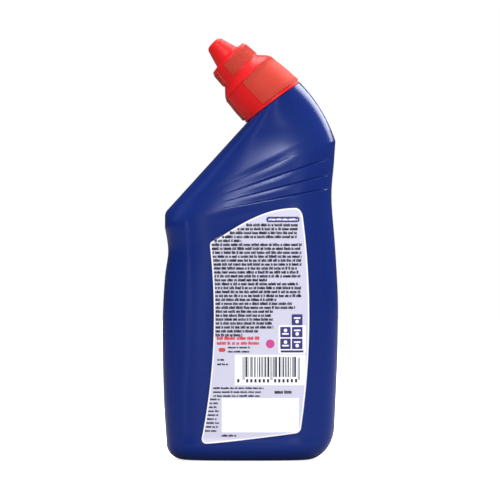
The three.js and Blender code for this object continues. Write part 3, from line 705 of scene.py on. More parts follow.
@dataclass(frozen=True)
class Bottle:
    """The blow-moulded shell: skin, ledge, threaded neck, bore and cavity."""

    form: BottleForm = BottleForm()
    columns: int = 280
    wall: float = 1.0
    thread_starts: int = 3
    thread_lead: float = 18.0
    thread_rise: float = 1.0
    thread_width: float = 1.6
    thread_start: float = math.radians(3.75)
    thread_sweep: float = math.radians(97.5)
    thread_foot: float = 8.0
    lug_reach: float = 2.5
    lug_width: float = 3.0
    lug_height: float = 4.0
    base_shares: tuple[float, ...] = (0.1, 0.25, 0.4, 0.52, 0.62, 0.68, 0.72, 0.75, 0.775, 0.8, 0.84,
                                      0.9, 0.96)
    inner_base_shares: tuple[float, ...] = (0.93, 0.8, 0.7, 0.5, 0.25)
    foot_heights: tuple[float, ...] = (0, 0.12, 0.35, 0.7, 1.1, 1.6, 2.2, 2.9, 3.7, 4.6, 5.6, 6.7, 7.8)
    groove_offsets: tuple[float, ...] = (-0.9, -0.6, -0.4, -0.28, -0.2, -0.12, -0.05, 0, 0.05, 0.12,
                                         0.2, 0.28, 0.4, 0.8)
    lip_profile: tuple[tuple[float, float], ...] = (
        (12.42, 18.28), (12.2, 18.45), (12.0, 18.5), (11.0, 18.5), (10.8, 18.3),
    )

    def angles(self) -> np.ndarray:
        """Directions round a loop, closer together at the parting line."""
        even = np.linspace(0, FULL_TURN, self.columns, endpoint=False)
        seam = [middle + side * away for middle in (0, math.pi) for side in (-1, 1)
                for away in (0.006, 0.012)]
        return np.unique(np.mod(np.concatenate([even, seam]), FULL_TURN))

    def stages(self) -> np.ndarray:
        """Where the skin's loops lie, closer together at the foot and the grooves."""
        levels = np.concatenate([self.foot_heights, np.arange(9, self.form.fan_height - 0.3, 1.15)])
        grooves = [angle + away for angle in self.form.groove_angles for away in self.groove_offsets]
        rays = np.unique(np.concatenate([np.arange(0, self.form.fan_top, 0.62), grooves]))
        top = 2 + np.linspace(0, 1, 36)
        return np.concatenate([levels / self.form.fan_height, 1 + rays / self.form.fan_top, top])

    def base(self, angles: np.ndarray, shares: tuple[float, ...], inset: float) -> list[np.ndarray]:
        """Loops of the pushed-up base, with the mould's pinch line across it.

        Args:
            angles: directions round a loop.
            shares: size of each loop, as a share of the base's edge.
            inset: 0 for the outer face, or how far inside it the loops lie.
        """
        edge = self.form.loops(np.zeros(1), angles)[0]
        centre = np.array([(edge[:, 0].min() + edge[:, 0].max()) / 2, 0, 0])
        made = []
        for share in shares:
            loop = centre + (edge - centre) * share
            rise = self.form.push_up * (1 - (share / self.form.standing_share) ** 6)
            pinch = 0.35 * np.exp(-(loop[:, 1] / 0.45) ** 2) * (share < 0.75) * (inset == 0)
            loop[:, 2] = max(rise, 0) + inset - pinch
            made.append(loop)
        return made

    def neck_radius(self, angles: np.ndarray, a: np.ndarray) -> np.ndarray:
        """Radius of the neck with its thread ridges and lugs."""
        neck = self.form.neck
        radius = np.full(np.broadcast(angles, a).shape, neck.radius)
        for start in range(self.thread_starts):
            turn = np.mod(angles - self.thread_start - start * FULL_TURN / self.thread_starts, FULL_TURN)
            middle = self.thread_foot + self.thread_width / 2 + self.thread_lead * turn / FULL_TURN
            ridge = np.clip((self.thread_width / 2 - np.abs(a - middle)) / 0.4, 0, 1)
            ends = smooth(turn, 0, 0.08) * (1 - smooth(turn, self.thread_sweep - 0.08, self.thread_sweep))
            radius = np.maximum(radius, neck.radius + self.thread_rise * ridge * ends)
        for middle in (math.pi / 2, 3 * math.pi / 2):
            away = np.abs(angles - middle) * neck.radius
            lug = (1 - smooth(away, self.lug_width / 2 - 0.2, self.lug_width / 2 + 0.2))
            lug = lug * (1 - smooth(a, self.lug_height - 0.4, self.lug_height))
            radius = np.maximum(radius, neck.radius + self.lug_reach * lug)
        return radius

    def neck_loops(self, angles: np.ndarray) -> list[np.ndarray]:
        """Loops from the ledge up the neck, over its lip and down the bore."""
        neck = self.form.neck
        slope = -neck.rim_slope * neck.radius * np.cos(angles)
        made = []
        for share in np.linspace(0, 1, 38):
            a = mix(slope, neck.length - 0.5, share)
            made.append(neck.ring(self.neck_radius(angles, a), angles, a))
        for radius, a in self.lip_profile:
            made.append(neck.ring(np.full(len(angles), radius), angles, np.full(len(angles), a)))
        under = -neck.rim_slope * neck.bore * np.cos(angles) - neck.ledge
        for share in (0.35, 0.7, 1):
            a = mix(self.lip_profile[-1][1], under, share)
            made.append(neck.ring(np.full(len(angles), neck.bore), angles, a))
        return made

    def build(self) -> bpy.types.Object:
        """The whole shell as one closed mesh."""
        angles, form = self.angles(), self.form
        rows = self.base(angles, self.base_shares, 0)
        rows += list(form.loops(self.stages(), angles))
        rows += self.neck_loops(angles)
        cavity = np.concatenate([np.linspace(2.93, 1, 9), np.linspace(0.85, 0.02, 8)])
        rows += list(form.loops(cavity, angles, self.wall))
        rows += self.base(angles, self.inner_base_shares, self.wall)
        middle = rows[0][:, 0].mean()
        hubs = (np.array([middle, 0, form.push_up - 0.35]), np.array([middle, 0, form.push_up + self.wall]))
        shell = closed_mesh("bottle_shell", np.stack(rows), hubs, 40)
        dress(shell, BLUE_SHELL.make(), "bottle", "bottle_plastic", "bottle")
        return shell


@dataclass(frozen=True)
class Label:
    """One printed film on a face, with its print."""

    form: BottleForm
    side: int
    left: float = -18.7
    right: float = 30.2
    middle: float = 74.0
    left_bend: float = 312.0
    right_bend: float = 385.0
    bottom: float = 8.9
    bottom_right: float = 14.0
    top_left: float = 112.5
    top_right: float = 129.0
    corner: float = 3.2
    lift: float = 0.16

    def edges(self, z: np.ndarray) -> tuple[np.ndarray, np.ndarray]:
        """The film's left and right edge at a height."""
        away = (z - self.middle) ** 2
        return self.left - away / (2 * self.left_bend), self.right - away / (2 * self.right_bend)

    def top_at(self, x: np.ndarray) -> np.ndarray:
        """Height of the film's top edge above a place across it."""
        left, right = self.edges(np.full(np.shape(x), self.top_left))
        share = np.clip((x - left) / (right - left), 0, 1)
        return mix(self.top_left, self.top_right, np.sin(share * math.pi / 2))

    def grid(self, columns: int = 58) -> np.ndarray:
        """Places on the film, row by row, drawn in at its rounded corners."""
        height = self.top_left - self.bottom
        bend = np.linspace(0, math.pi / 2, 9)[:-1]
        rise = self.corner * (1 - np.cos(bend))
        cut = self.corner * (1 - np.sin(bend))
        middle = np.linspace(self.corner, height - self.corner, 110)
        rises = np.concatenate([rise, middle, height - rise[::-1]])
        cuts = np.concatenate([cut, np.zeros(len(middle)), cut[::-1]])
        near = np.array([0, 0.28, 0.6, 0.95, 1.4])
        width = self.right - self.left
        inner = mix(near[-1] / width, 1 - near[-1] / width, np.linspace(0, 1, columns - 8))
        share = np.concatenate([near[:-1] / width, inner, 1 - near[-2::-1] / width])
        climb = rises[:, None] / height
        swell = (self.top_right - self.top_left) * np.sin(share * math.pi / 2) * climb ** 3
        lift = (self.bottom_right - self.bottom) * share ** 1.15 * (1 - climb) ** 3
        z = self.bottom + rises[:, None] + swell + lift
        left, right = self.edges(z)
        x = mix(left + cuts[:, None], right - cuts[:, None], share)
        return np.stack([x, z], -1)

    def film(self) -> bpy.types.Object:
        """The film itself, with each point's distance to its edge stored on it."""
        grid = self.grid()
        skin = self.form.depth_at(grid[..., 0], grid[..., 1])
        points, faces = closed_plate(grid, skin + self.lift, skin - 0.05, self.side)
        name = "back_label_film" if self.side < 0 else "front_label_film"
        film = new_object(name, points * MM, faces)
        border = np.vstack([grid[0], grid[:, -1], grid[-1, ::-1], grid[::-1, 0]])
        flat = points[:, [0, 2]]
        nearest = np.full(len(flat), np.inf)
        for start, end in zip(border, border[1:]):
            run = end - start
            size = run @ run
            if size < 1e-12:
                continue
            share = np.clip(((flat - start) @ run) / size, 0, 1)[:, None]
            nearest = np.minimum(nearest, np.linalg.norm(flat - start - run * share, axis=1))
        attribute = film.data.attributes.new("edge_distance", "FLOAT", "POINT")
        attribute.data.foreach_set("value", nearest.astype(np.float32))
        return film

    def place(self, x: np.ndarray, z: np.ndarray) -> tuple[np.ndarray, np.ndarray]:
        """Middle points and turns of flat print at places on the film.

        Args:
            x: places across.
            z: places up.

        Returns:
            The points just on the film, and Euler angles that lay a block flat on it.
        """
        x, z = np.asarray(x, float), np.asarray(z, float)
        step = 0.4
        depth = self.form.depth_at(x, z)
        slope = (self.form.depth_at(x + step, z) - self.form.depth_at(x - step, z)) / (2 * step)
        turns = np.zeros((*x.shape, 3))
        turns[..., 2] = np.arctan(self.side * slope)
        return np.stack([x, self.side * (depth + self.lift), z], -1), turns

    def patch(self, x0: float, x1: float, z0: float, z1: float, corner: float = 0.4,
              level: int = 1) -> tuple[np.ndarray, np.ndarray]:
        """A rounded field of ink between two places across and two heights.

        Args:
            x0, x1: its left and right edge.
            z0, z1: its lower and upper edge.
            corner: its corner radius.
            level: 1 for ink on the film, 2 for ink on that ink.

        Returns:
            The field's grid and the half depth of its outer face.
        """
        bend = np.linspace(0, math.pi / 2, 6)
        rise, cut = corner * (1 - np.cos(bend)), corner * (1 - np.sin(bend))
        rows = max(2, int((z1 - z0) / 2.5))
        z = np.concatenate([z0 + rise, np.linspace(z0 + corner, z1 - corner, rows + 1)[1:-1],
                            z1 - rise[::-1]])
        cuts = np.concatenate([cut, np.zeros(rows - 1), cut[::-1]])
        share = np.linspace(0, 1, max(3, int((x1 - x0) / 1.2)))
        x = mix((x0 + cuts)[:, None], (x1 - cuts)[:, None], share)
        grid = np.stack([x, np.broadcast_to(z[:, None], x.shape)], -1)
        return grid, self.form.depth_at(grid[..., 0], grid[..., 1]) + self.lift + 0.03 * level

    def inked(self, name: str, finish: Finish, fields: tuple | list) -> bpy.types.Object:
        """One mesh with several fields of the same ink, dressed as part of the label."""
        points, faces = [], []
        count = 0
        for field in fields:
            grid, outer = self.patch(*field)
            made, cells = closed_plate(grid, outer, outer - 0.05, self.side, count)
            points.append(made)
            faces += cells
            count += len(made)
        piece = new_object(name, np.vstack(points) * MM, faces)
        self.dress_print(piece, finish.make())
        return piece

    def dress_print(self, piece: bpy.types.Object, finish: bpy.types.Material) -> None:
        """Give a printed piece its finish and attach it to the bottle's body."""
        slot = "back_label_film" if self.side < 0 else "front_label_film"
        dress(piece, finish, "bottle", slot)

    def strokes(self, name: str, finish: Finish, blocks: list[tuple]) -> bpy.types.Object:
        """Small upright blocks of ink: each one's place, width and height."""
        x, z, wide, high = (np.array(column) for column in zip(*blocks))
        places, turns = self.place(x, z)
        sizes = np.stack([wide, np.full(len(x), 0.09), high], -1)
        ink = finish.make()
        piece = Repeater(Shape.BLOCK).build(name, places, sizes, turns, ink)
        self.dress_print(piece, ink)
        return piece


def word_strokes(start: float, end: float, z: float, height: float, dice: np.random.Generator,
                 pitch: float = 0.5) -> list[tuple[float, float, float, float]]:
    """A line of small strokes in groups, which reads as small print from a distance.

    Args:
        start: where the line begins.
        end: where it ends at the latest.
        z: its middle height.
        height: the tallest stroke.
        dice: the seeded random source.
        pitch: distance from stroke to stroke.

    Returns:
        Place, width and height of each stroke.
    """
    made = []
    x = start
    while x < end:
        group = int(dice.integers(2, 9))
        for _ in range(group):
            if x > end:
                break
            tall = height * float(dice.choice([0.74, 0.78, 0.84, 1.0]))
            wide = pitch * float(dice.choice([0.78, 0.9, 0.98]))
            made.append((x, z - (height - tall) / 2, wide, tall))
            x += pitch
        x += pitch * 0.9
    return made


@dataclass(frozen=True)
class BackPrint:
    """Plain print of the back label: lines of small strokes, fields and a bar block.

    A field gives its left, right, lower and upper edge, its corner radius and its level.
    A line gives its start, its end, its middle height and the height of its strokes.
    """

    label: Label
    first_line: float = 120.1
    line_pitch: float = 1.993
    lines: int = 29
    margin: float = 1.3
    text_height: float = 1.5
    short_lines: tuple[tuple[int, float], ...] = ((4, -4.6), (14, 8.6), (19, 13.0), (27, 4.1), (28, -3.9))
    note_lines: tuple[tuple[float, ...], ...] = (
        (-16.5, -12.7, 51.8, 1.1), (-16.5, -11.4, 49.5, 1.1), (-14.3, -7.2, 13.3, 1.1),
        (-11.2, -0.2, 58.0, 1.0), (-11.2, -0.2, 55.9, 1.0),
    )
    red_lines: tuple[tuple[float, ...], ...] = ((-16.6, 4.6, 62.7, 1.7), (-16.6, 5.2, 60.2, 1.7))
    white_fields: tuple[tuple[float, ...], ...] = (
        (-7.9, 28.1, 38.8, 54.3, 0.3), (-14.5, 24.7, 14.9, 32.3, 0.3), (14.3, 28.2, 54.7, 69.3, 1.0),
    )
    squares: tuple[tuple[float, ...], ...] = (
        (21.0, 26.5, 69.2, 74.8), (15.2, 20.5, 63.1, 68.4), (21.1, 26.5, 63.1, 68.4),
        (15.2, 20.5, 57.1, 62.5), (21.1, 26.5, 57.1, 62.5),
    )
    tag: tuple[float, ...] = (8.1, 25.0, 121.5, 124.3, 1.2)
    underline: tuple[float, ...] = (15.4, 27.0, 55.4, 56.5, 0.3, 2)
    bright_mark: tuple[float, ...] = (7.9, 12.3, 57.6, 62.0, 2.1)
    red_mark: tuple[float, ...] = (-16.1, -12.6, 55.7, 57.8, 0.9)
    bars_start: float = -3.7
    bars_middle: float = 10.4
    bars_end: float = 24.9
    bar_unit: float = 0.302

    def right_end(self, line: int, dice: np.random.Generator) -> float:
        """Where a line of small print ends."""
        short = dict(self.short_lines)
        if line in short:
            return short[line]
        if line > 21:
            return 10.2 + 1.8 * float(dice.random())
        return (21.5 if line > 19 else 24.0) + 2.4 * float(dice.random()) - (1.5 if line < 4 else 0)

    def small_print(self) -> list[tuple]:
        """The lines of small print that fill the label's upper half."""
        dice = np.random.default_rng(PRINT_SEED)
        made = []
        for line in range(self.lines):
            z = self.first_line - line * self.line_pitch
            reach = np.linspace(self.label.left - 3, self.label.right, 200)
            under = reach[self.label.top_at(reach) > z + 1.6]
            left = max(float(self.label.edges(np.array(z))[0]) + self.margin, float(under[0]) + 0.6)
            made += word_strokes(left, self.right_end(line, dice), z, self.text_height, dice)
        for line in range(3):
            made += word_strokes(-18.6, 6.8 - line, 37.4 - 1.98 * line, 1.0, dice)
        for line in range(9):
            z = 31.7 - 2.0 * line
            left = float(self.label.edges(np.array(z))[0]) + self.margin
            made += word_strokes(left, -15.4 - 0.8 * (line % 3), z, 1.0, dice)
        for line in self.note_lines:
            made += word_strokes(*line, dice)
        return made

    def bar_block(self) -> list[tuple]:
        """Upright bars of mixed widths, taller at the ends and in the middle."""
        dice = np.random.default_rng(PRINT_SEED + 1)
        made = []
        x, middle, end, unit = self.bars_start, self.bars_middle, self.bars_end, self.bar_unit
        guards = (x, x + 2 * unit, middle, middle + 2 * unit, end - 2 * unit, end)
        for place in guards:
            made.append((place, 47.35, unit, 11.7))
        x += 4 * unit
        while x < end - 4 * unit:
            bar, space = unit * int(dice.integers(1, 4)), unit * int(dice.integers(1, 4))
            if abs(x + bar / 2 - middle - unit) > 1.3:
                made.append((x + bar / 2, 48.1, bar, 10.2))
            x += bar + space
        for place in np.concatenate([[-6.1], np.linspace(-1.6, 9.0, 6), np.linspace(12.6, 23.2, 6)]):
            made.append((float(place), 41.1, 1.05, 1.7))
        return made

    def square_marks(self) -> list[tuple]:
        """A dot and a short bar on each dark square, in two orders."""
        marks = []
        for number, (x0, x1, z0, z1) in enumerate(self.squares):
            middle, centre = (x0 + x1) / 2, (z0 + z1) / 2
            away = 0.9 if number % 2 else -0.9
            dot, bar = centre + away, centre - away
            marks.append((middle - 0.9, middle + 0.9, dot - 0.9, dot + 0.9, 0.85, 3))
            marks.append((middle - 1.7, middle + 1.7, bar - 0.4, bar + 0.4, 0.3, 3))
        return marks

    def build(self) -> None:
        """All of the back label's print."""
        label = self.label
        label.strokes("back_small_print", NAVY_INK, self.small_print())
        dice = np.random.default_rng(PRINT_SEED + 2)
        red = []
        for line in self.red_lines:
            red += word_strokes(*line, dice, 0.78)
        label.strokes("back_red_print", RED_INK, red)
        label.inked("back_white_fields", WHITE_INK, self.white_fields)
        squares = [(*square, 0.4, 2) for square in self.squares]
        label.inked("back_navy_fields", NAVY_FIELD, [self.tag, *squares, self.underline])
        label.inked("back_square_marks", WHITE_INK, self.square_marks())
        label.inked("back_bright_marks", BRIGHT_INK, [self.bright_mark])
        label.inked("back_orange_mark", RED_INK, [self.red_mark])
        below_bars = word_strokes(12.6, 21.6, 35.4, 1.7, dice, 0.62)
        label.strokes("back_bar_block", NAVY_INK, self.bar_block() + below_bars)
        label.strokes("back_tag_print", WHITE_INK, word_strokes(9.4, 23.8, 122.9, 1.2, dice, 0.52))


@dataclass(frozen=True)
class FrontPrint:
    """Plain print of the front label: broad fields and lines of strokes.

    A field gives its left, right, lower and upper edge and its corner radius.
    A pale line gives its start, end, middle height, stroke height and stroke pitch.
    """

    label: Label
    navy_fields: tuple[tuple[float, ...], ...] = (
        (-13.0, 25.5, 86.0, 104.0, 2.0), (-14.5, 24.5, 22.0, 29.0, 2.0),
    )
    red_fields: tuple[tuple[float, ...], ...] = (
        (-11.5, 24.0, 68.0, 81.0, 2.0), (2.0, 26.0, 110.5, 114.5, 1.5),
    )
    pale_lines: tuple[tuple[float, ...], ...] = (
        (-8.5, 21.5, 97.0, 2.4, 1.1), (-8.5, 14.0, 92.0, 1.8, 0.9), (-7.5, 20.0, 74.5, 2.0, 0.95),
        (-10.5, 20.5, 25.5, 1.5, 0.8),
    )
    small_lines: int = 7
    small_pitch: float = 3.4

    def build(self) -> None:
        """All of the front label's print."""
        label = self.label
        label.inked("front_navy_fields", NAVY_FIELD, self.navy_fields)
        label.inked("front_red_fields", RED_INK, self.red_fields)
        dice = np.random.default_rng(PRINT_SEED + 3)
        lines = []
        for line in range(self.small_lines):
            end, z = 23.5 - 2 * (line % 3), 60.0 - self.small_pitch * line
            lines += word_strokes(-15.5, end, z, 1.5, dice, 0.7)
        label.strokes("front_small_print", NAVY_INK, lines)
        pale = []
        for *line, pitch in self.pale_lines:
            pale += word_strokes(*line, dice, pitch)
        label.strokes("front_pale_print", WHITE_INK, pale)


@dataclass(frozen=True)
class Cap:
    """The red cap: oblique skirt, cone, collar and tall cover, with ribbed pads."""

    neck: Neck = Neck()
    skirt_top: float = 15.55
    skirt_length: float = 19.0
    cone_top: float = 23.6
    collar_radius: float = 11.8
    collar_top_radius: float = 11.2
    collar_top: float = 32.0
    cover_top_radius: float = 4.95
    crown: float = 43.9
    rounding: float = 2.9
    wall: float = 1.35
    foot_gap: float = 0.3
    pad_rise: float = 0.3
    pad_foot: float = 1.6
    thread_starts: int = 3
    thread_lead: float = 18.0
    thread_start: float = math.radians(26.25)
    thread_sweep: float = 0.916
    thread_middle: float = 7.9
    thread_half: float = 0.8
    thread_gap: float = 0.4
    lug_angles: tuple[float, float] = (112.0, 292.0)
    lug_low: float = 2.6
    lug_high: float = 7.0
    lug_gap: float = 2.8
    foot_steps: tuple[tuple[float, float, float], ...] = (
        (0, 0.22, 0), (0.08, 0.08, 0), (0.22, 0, 0), (0.5, 0, 0), (0.75, 0, 0.28), (1.3, 0, 0.32),
        (1.58, 0, 0.3),
    )
    skirt_shares: tuple[float, ...] = (0, 0.008, 0.02, 0.1, 0.25, 0.4, 0.55, 0.7, 0.8, 0.88, 0.94,
                                       0.98, 0.992, 1)
    collar_shares: tuple[float, ...] = (0, 0.02, 0.05, 0.3, 0.6, 0.9, 0.97, 0.985, 1)
    cone_profile: tuple[tuple[float, float], ...] = (
        (15.9, 18.35), (15.45, 19.3), (14.7, 20.2), (13.6, 21.4), (12.5, 22.55), (11.95, 23.2),
        (11.8, 23.6),
    )
    cover_foot: tuple[tuple[float, float], ...] = (
        (11.2, 31.7), (11.15, 32.2), (10.85, 32.75), (10.2, 33.0), (8.4, 33.3), (7.35, 33.62),
        (7.0, 34.1), (6.75, 35.3),
    )
    inside_top: tuple[tuple[float, float], ...] = (
        (1.0, 42.85), (3.2, 42.85), (3.6, 42.55), (3.6, 41.6), (5.55, 32.2), (9.85, 31.6), (9.85, 31.2),
        (10.45, 23.1),
    )
    pad_middle: float = math.radians(-40)
    skirt_pad: float = math.radians(66)
    collar_pad: float = math.radians(74.25)
    columns: int = 232

    def angles(self) -> np.ndarray:
        """Directions round the cap, closer together at the pads' ends."""
        even = np.linspace(0, FULL_TURN, self.columns, endpoint=False)
        near = [0.004, 0.012, 0.022]
        extra = [self.pad_middle + turn + side * half + way * away
                 for turn in (0, math.pi) for side in (-1, 1)
                 for half in (self.skirt_pad, self.collar_pad) for way in (-1, 1) for away in near]
        return np.unique(np.round(np.mod(np.concatenate([even, extra]), FULL_TURN), 6))

    def on_pad(self, angles: np.ndarray, half: float) -> np.ndarray:
        """1 on a pad and 0 beside it, with steep ends."""
        away = np.abs(np.mod(angles - self.pad_middle + math.pi / 2, math.pi) - math.pi / 2)
        return 1 - smooth(away, half - 0.008, half + 0.008)

    def foot_at(self, angles: np.ndarray) -> np.ndarray:
        """Height of the skirt's slanted foot at each direction."""
        return self.foot_gap - self.neck.rim_slope * self.neck.rim_radius * np.cos(angles)

    def skirt_radius(self, a: np.ndarray) -> np.ndarray:
        """Radius of the tapered skirt at a height."""
        return mix(self.neck.rim_radius, self.skirt_top, a / self.skirt_length)

    def outside(self, angles: np.ndarray) -> list[tuple[np.ndarray, np.ndarray, np.ndarray]]:
        """Radius, height and pad rise of the outer face's rings, from the skirt's foot to the crown."""
        foot = self.foot_at(angles)
        skirt_pad, collar_pad = (self.on_pad(angles, half) for half in (self.skirt_pad, self.collar_pad))
        rings = []
        for rise, back, groove in self.foot_steps:
            radius = self.skirt_radius(foot + rise) - back - groove * skirt_pad
            rings.append((radius, foot + rise, 0 * angles))
        pad_top = self.skirt_length - 0.8
        for share in self.skirt_shares:
            a = mix(foot + self.pad_foot, pad_top, share)
            edge = min(1.0, share / 0.008, (1 - share) / 0.008)
            bulge = 0.5 * math.sin(math.pi * min(1.0, 0.12 + share * 0.8)) ** 1.5
            rings.append((self.skirt_radius(a) + bulge, a, self.pad_rise * skirt_pad * edge))
        full = np.ones(len(angles))
        rings += [(full * radius, full * a, 0 * angles) for radius, a in catmull(self.cone_profile, 3)]
        low, high = self.cone_top + 0.35, self.collar_top - 0.45
        for share in self.collar_shares:
            a = mix(low, high, share)
            edge = min(1.0, share / 0.02, (1 - share) / 0.015)
            radius = mix(self.collar_radius, self.collar_top_radius, share)
            rings.append((full * radius, full * a, self.pad_rise * collar_pad * edge))
        rings += [(full * radius, full * a, 0 * angles) for radius, a in catmull(self.cover_foot, 4)]
        wide, low = self.cover_foot[-1]
        for share in np.linspace(0.1, 0.9, 6):
            radius = mix(wide, self.cover_top_radius + 0.1, share)
            rings.append((full * radius, full * mix(low, self.crown - self.rounding, share), 0 * angles))
        for turn in np.linspace(0, math.pi / 2, 9):
            radius = self.cover_top_radius - self.rounding * (1 - math.cos(turn))
            a = self.crown - self.rounding * (1 - math.sin(turn))
            rings.append((full * radius, full * a, 0 * angles))
        rings.append((full * 1.2, full * self.crown, 0 * angles))
        return rings

    def inside(self, angles: np.ndarray) -> list[np.ndarray]:
        """Rings of the inner face, from the crown down to the skirt's foot, with thread ridges."""
        neck, full = self.neck, np.ones(len(angles))
        foot = self.foot_at(angles)
        rings = [(full * radius, full * a) for radius, a in self.inside_top]
        for share in np.linspace(0, 1, 30):
            a = mix(full * 18.5, foot, share)
            radius = self.skirt_radius(a) - self.wall
            for start in range(self.thread_starts):
                begin = self.thread_start + start * FULL_TURN / self.thread_starts
                turn = np.mod(angles - begin, FULL_TURN)
                middle = self.thread_middle + self.thread_lead * turn / FULL_TURN
                ridge = np.clip((self.thread_half - np.abs(a - middle)) / 0.3, 0, 1)
                ends = smooth(turn, 0, 0.08) * (1 - smooth(turn, self.thread_sweep - 0.08, self.thread_sweep))
                radius = mix(radius, np.minimum(radius, neck.radius + self.thread_gap), ridge * ends)
            for middle in self.lug_angles:
                lug = 1 - smooth(np.abs(np.degrees(angles) - middle), 5, 6)
                lug = lug * smooth(a, self.lug_low, self.lug_low + 0.4)
                lug = lug * (1 - smooth(a, self.lug_high - 0.4, self.lug_high))
                radius = mix(radius, np.minimum(radius, neck.radius + self.lug_gap), lug)
            rings.append((radius, a))
        rings.append((self.skirt_radius(foot) - 0.5 * self.wall, foot))
        return [neck.ring(radius, angles, a) for radius, a in rings]

    def build(self) -> None:
        """The cap's shell and its ribs."""
        angles = self.angles()
        outer = self.outside(angles)[::-1]
        rings = [self.neck.ring(radius + rise, angles, a) for radius, a, rise in outer]
        rings += self.inside(angles)[::-1]
        padded = np.zeros((len(rings), len(angles)))
        padded[:len(outer)] = np.stack([rise for _, _, rise in outer]) / self.pad_rise
        hubs = (self.neck.place(0, 0, self.crown), self.neck.place(0, 0, self.inside_top[0][1]))
        shell = closed_mesh("cap_shell", np.stack(rings)[:, ::-1], hubs, 28)
        mask = np.concatenate([padded[:, ::-1].ravel(), [0, 0]])
        attribute = shell.data.attributes.new("pad_mask", "FLOAT", "POINT")
        attribute.data.foreach_set("value", mask.astype(np.float32))
        dress(shell, RED_CAP.make(), "cap", "cap_plastic", "cap")
        self.ribs()

    def ribs(self) -> bpy.types.Object:
        """Fine ribs on the four pads, along the cap's axis."""
        neck = self.neck
        places, sizes, turns = [], [], []
        slope_skirt = (self.skirt_top - neck.rim_radius) / self.skirt_length
        slope_collar = (self.collar_top_radius - self.collar_radius) / (self.collar_top - self.cone_top)
        for half, count, slope in ((self.skirt_pad, 35, slope_skirt), (self.collar_pad, 37, slope_collar)):
            for turn in (0, math.pi):
                for angle in self.pad_middle + turn + np.linspace(-half + 0.03, half - 0.03, count):
                    if half == self.skirt_pad:
                        low = float(self.foot_at(angle)) + self.pad_foot + 0.45
                        high = self.skirt_length - 1.0
                        middle = (low + high) / 2
                        radius = float(self.skirt_radius(middle)) + self.pad_rise + 0.17
                    else:
                        low, high = self.cone_top + 0.75, self.collar_top - 0.85
                        middle = (low + high) / 2
                        radius = mix(self.collar_radius, self.collar_top_radius, 0.5) + self.pad_rise
                    point = neck.place(radius * math.cos(angle), radius * math.sin(angle), middle)
                    tilt = Euler((0, math.atan(slope), 0)).to_matrix()
                    spin = Euler((0, 0, angle)).to_matrix()
                    lean = Euler((0, -neck.lean, 0)).to_matrix()
                    places.append(point)
                    sizes.append((0.34, 0.5 * radius / neck.rim_radius, high - low))
                    turns.append(tuple((lean @ spin @ tilt).to_euler()))
        ink = RED_RIBS.make()
        ribs = Repeater(Shape.BAR, 8).build("cap_ribs", places, sizes, turns, ink)
        dress(ribs, ink, "cap", "cap_plastic")
        return ribs


def finish_inner_pieces() -> None:
    """Keep the shape of the nozzle, the wad and the contents, and give them their finishes."""
    finishes = {"nozzle_insert": NATURAL_PLASTIC, "seal_wad": FOAM, "cleaning_liquid": BLUE_LIQUID}
    for node, finish in finishes.items():
        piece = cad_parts[node]
        piece.data.materials.clear()
        piece.data.materials.append(finish.make())
        LOG.info("%s keeps its shape, finished as %s", node, finish.name)


@dataclass(frozen=True)
class Lamp:
    """A soft rectangular lamp that faces the bottle, placed and sized in metres."""

    name: str
    place: tuple[float, float, float]
    size: tuple[float, float]
    watts: float
    target: tuple[float, float, float] = (0.0, 0.0, 0.11)

    def build(self) -> None:
        """Hang the lamp and turn it to its target."""
        data = bpy.data.lights.new(self.name, "AREA")
        data.shape = "RECTANGLE"
        data.size, data.size_y = self.size
        data.energy = self.watts
        made = bpy.data.objects.new(self.name, data)
        made.location = self.place
        aim = Vector(self.target) - Vector(self.place)
        made.rotation_euler = aim.to_track_quat("-Z", "Y").to_euler()
        bpy.context.scene.collection.objects.link(made)


LAMPS = (
    Lamp("front_box", (-0.07, -1.4, 1.02), (0.3, 0.55), 10),
    Lamp("left_strip", (-0.42, -1.3, 0.2), (0.06, 0.7), 0.35),
    Lamp("right_strip", (0.42, -1.3, 0.2), (0.05, 0.6), 0.5),
    Lamp("back_strip", (0.95, 0.72, 0.88), (0.95, 0.6), 13),
    Lamp("top_box", (0.1, 0.4, 1.25), (0.8, 0.8), 13),
    Lamp("slope_strip", (-0.9, -0.1, 1.0), (0.55, 0.9), 0.5),
)


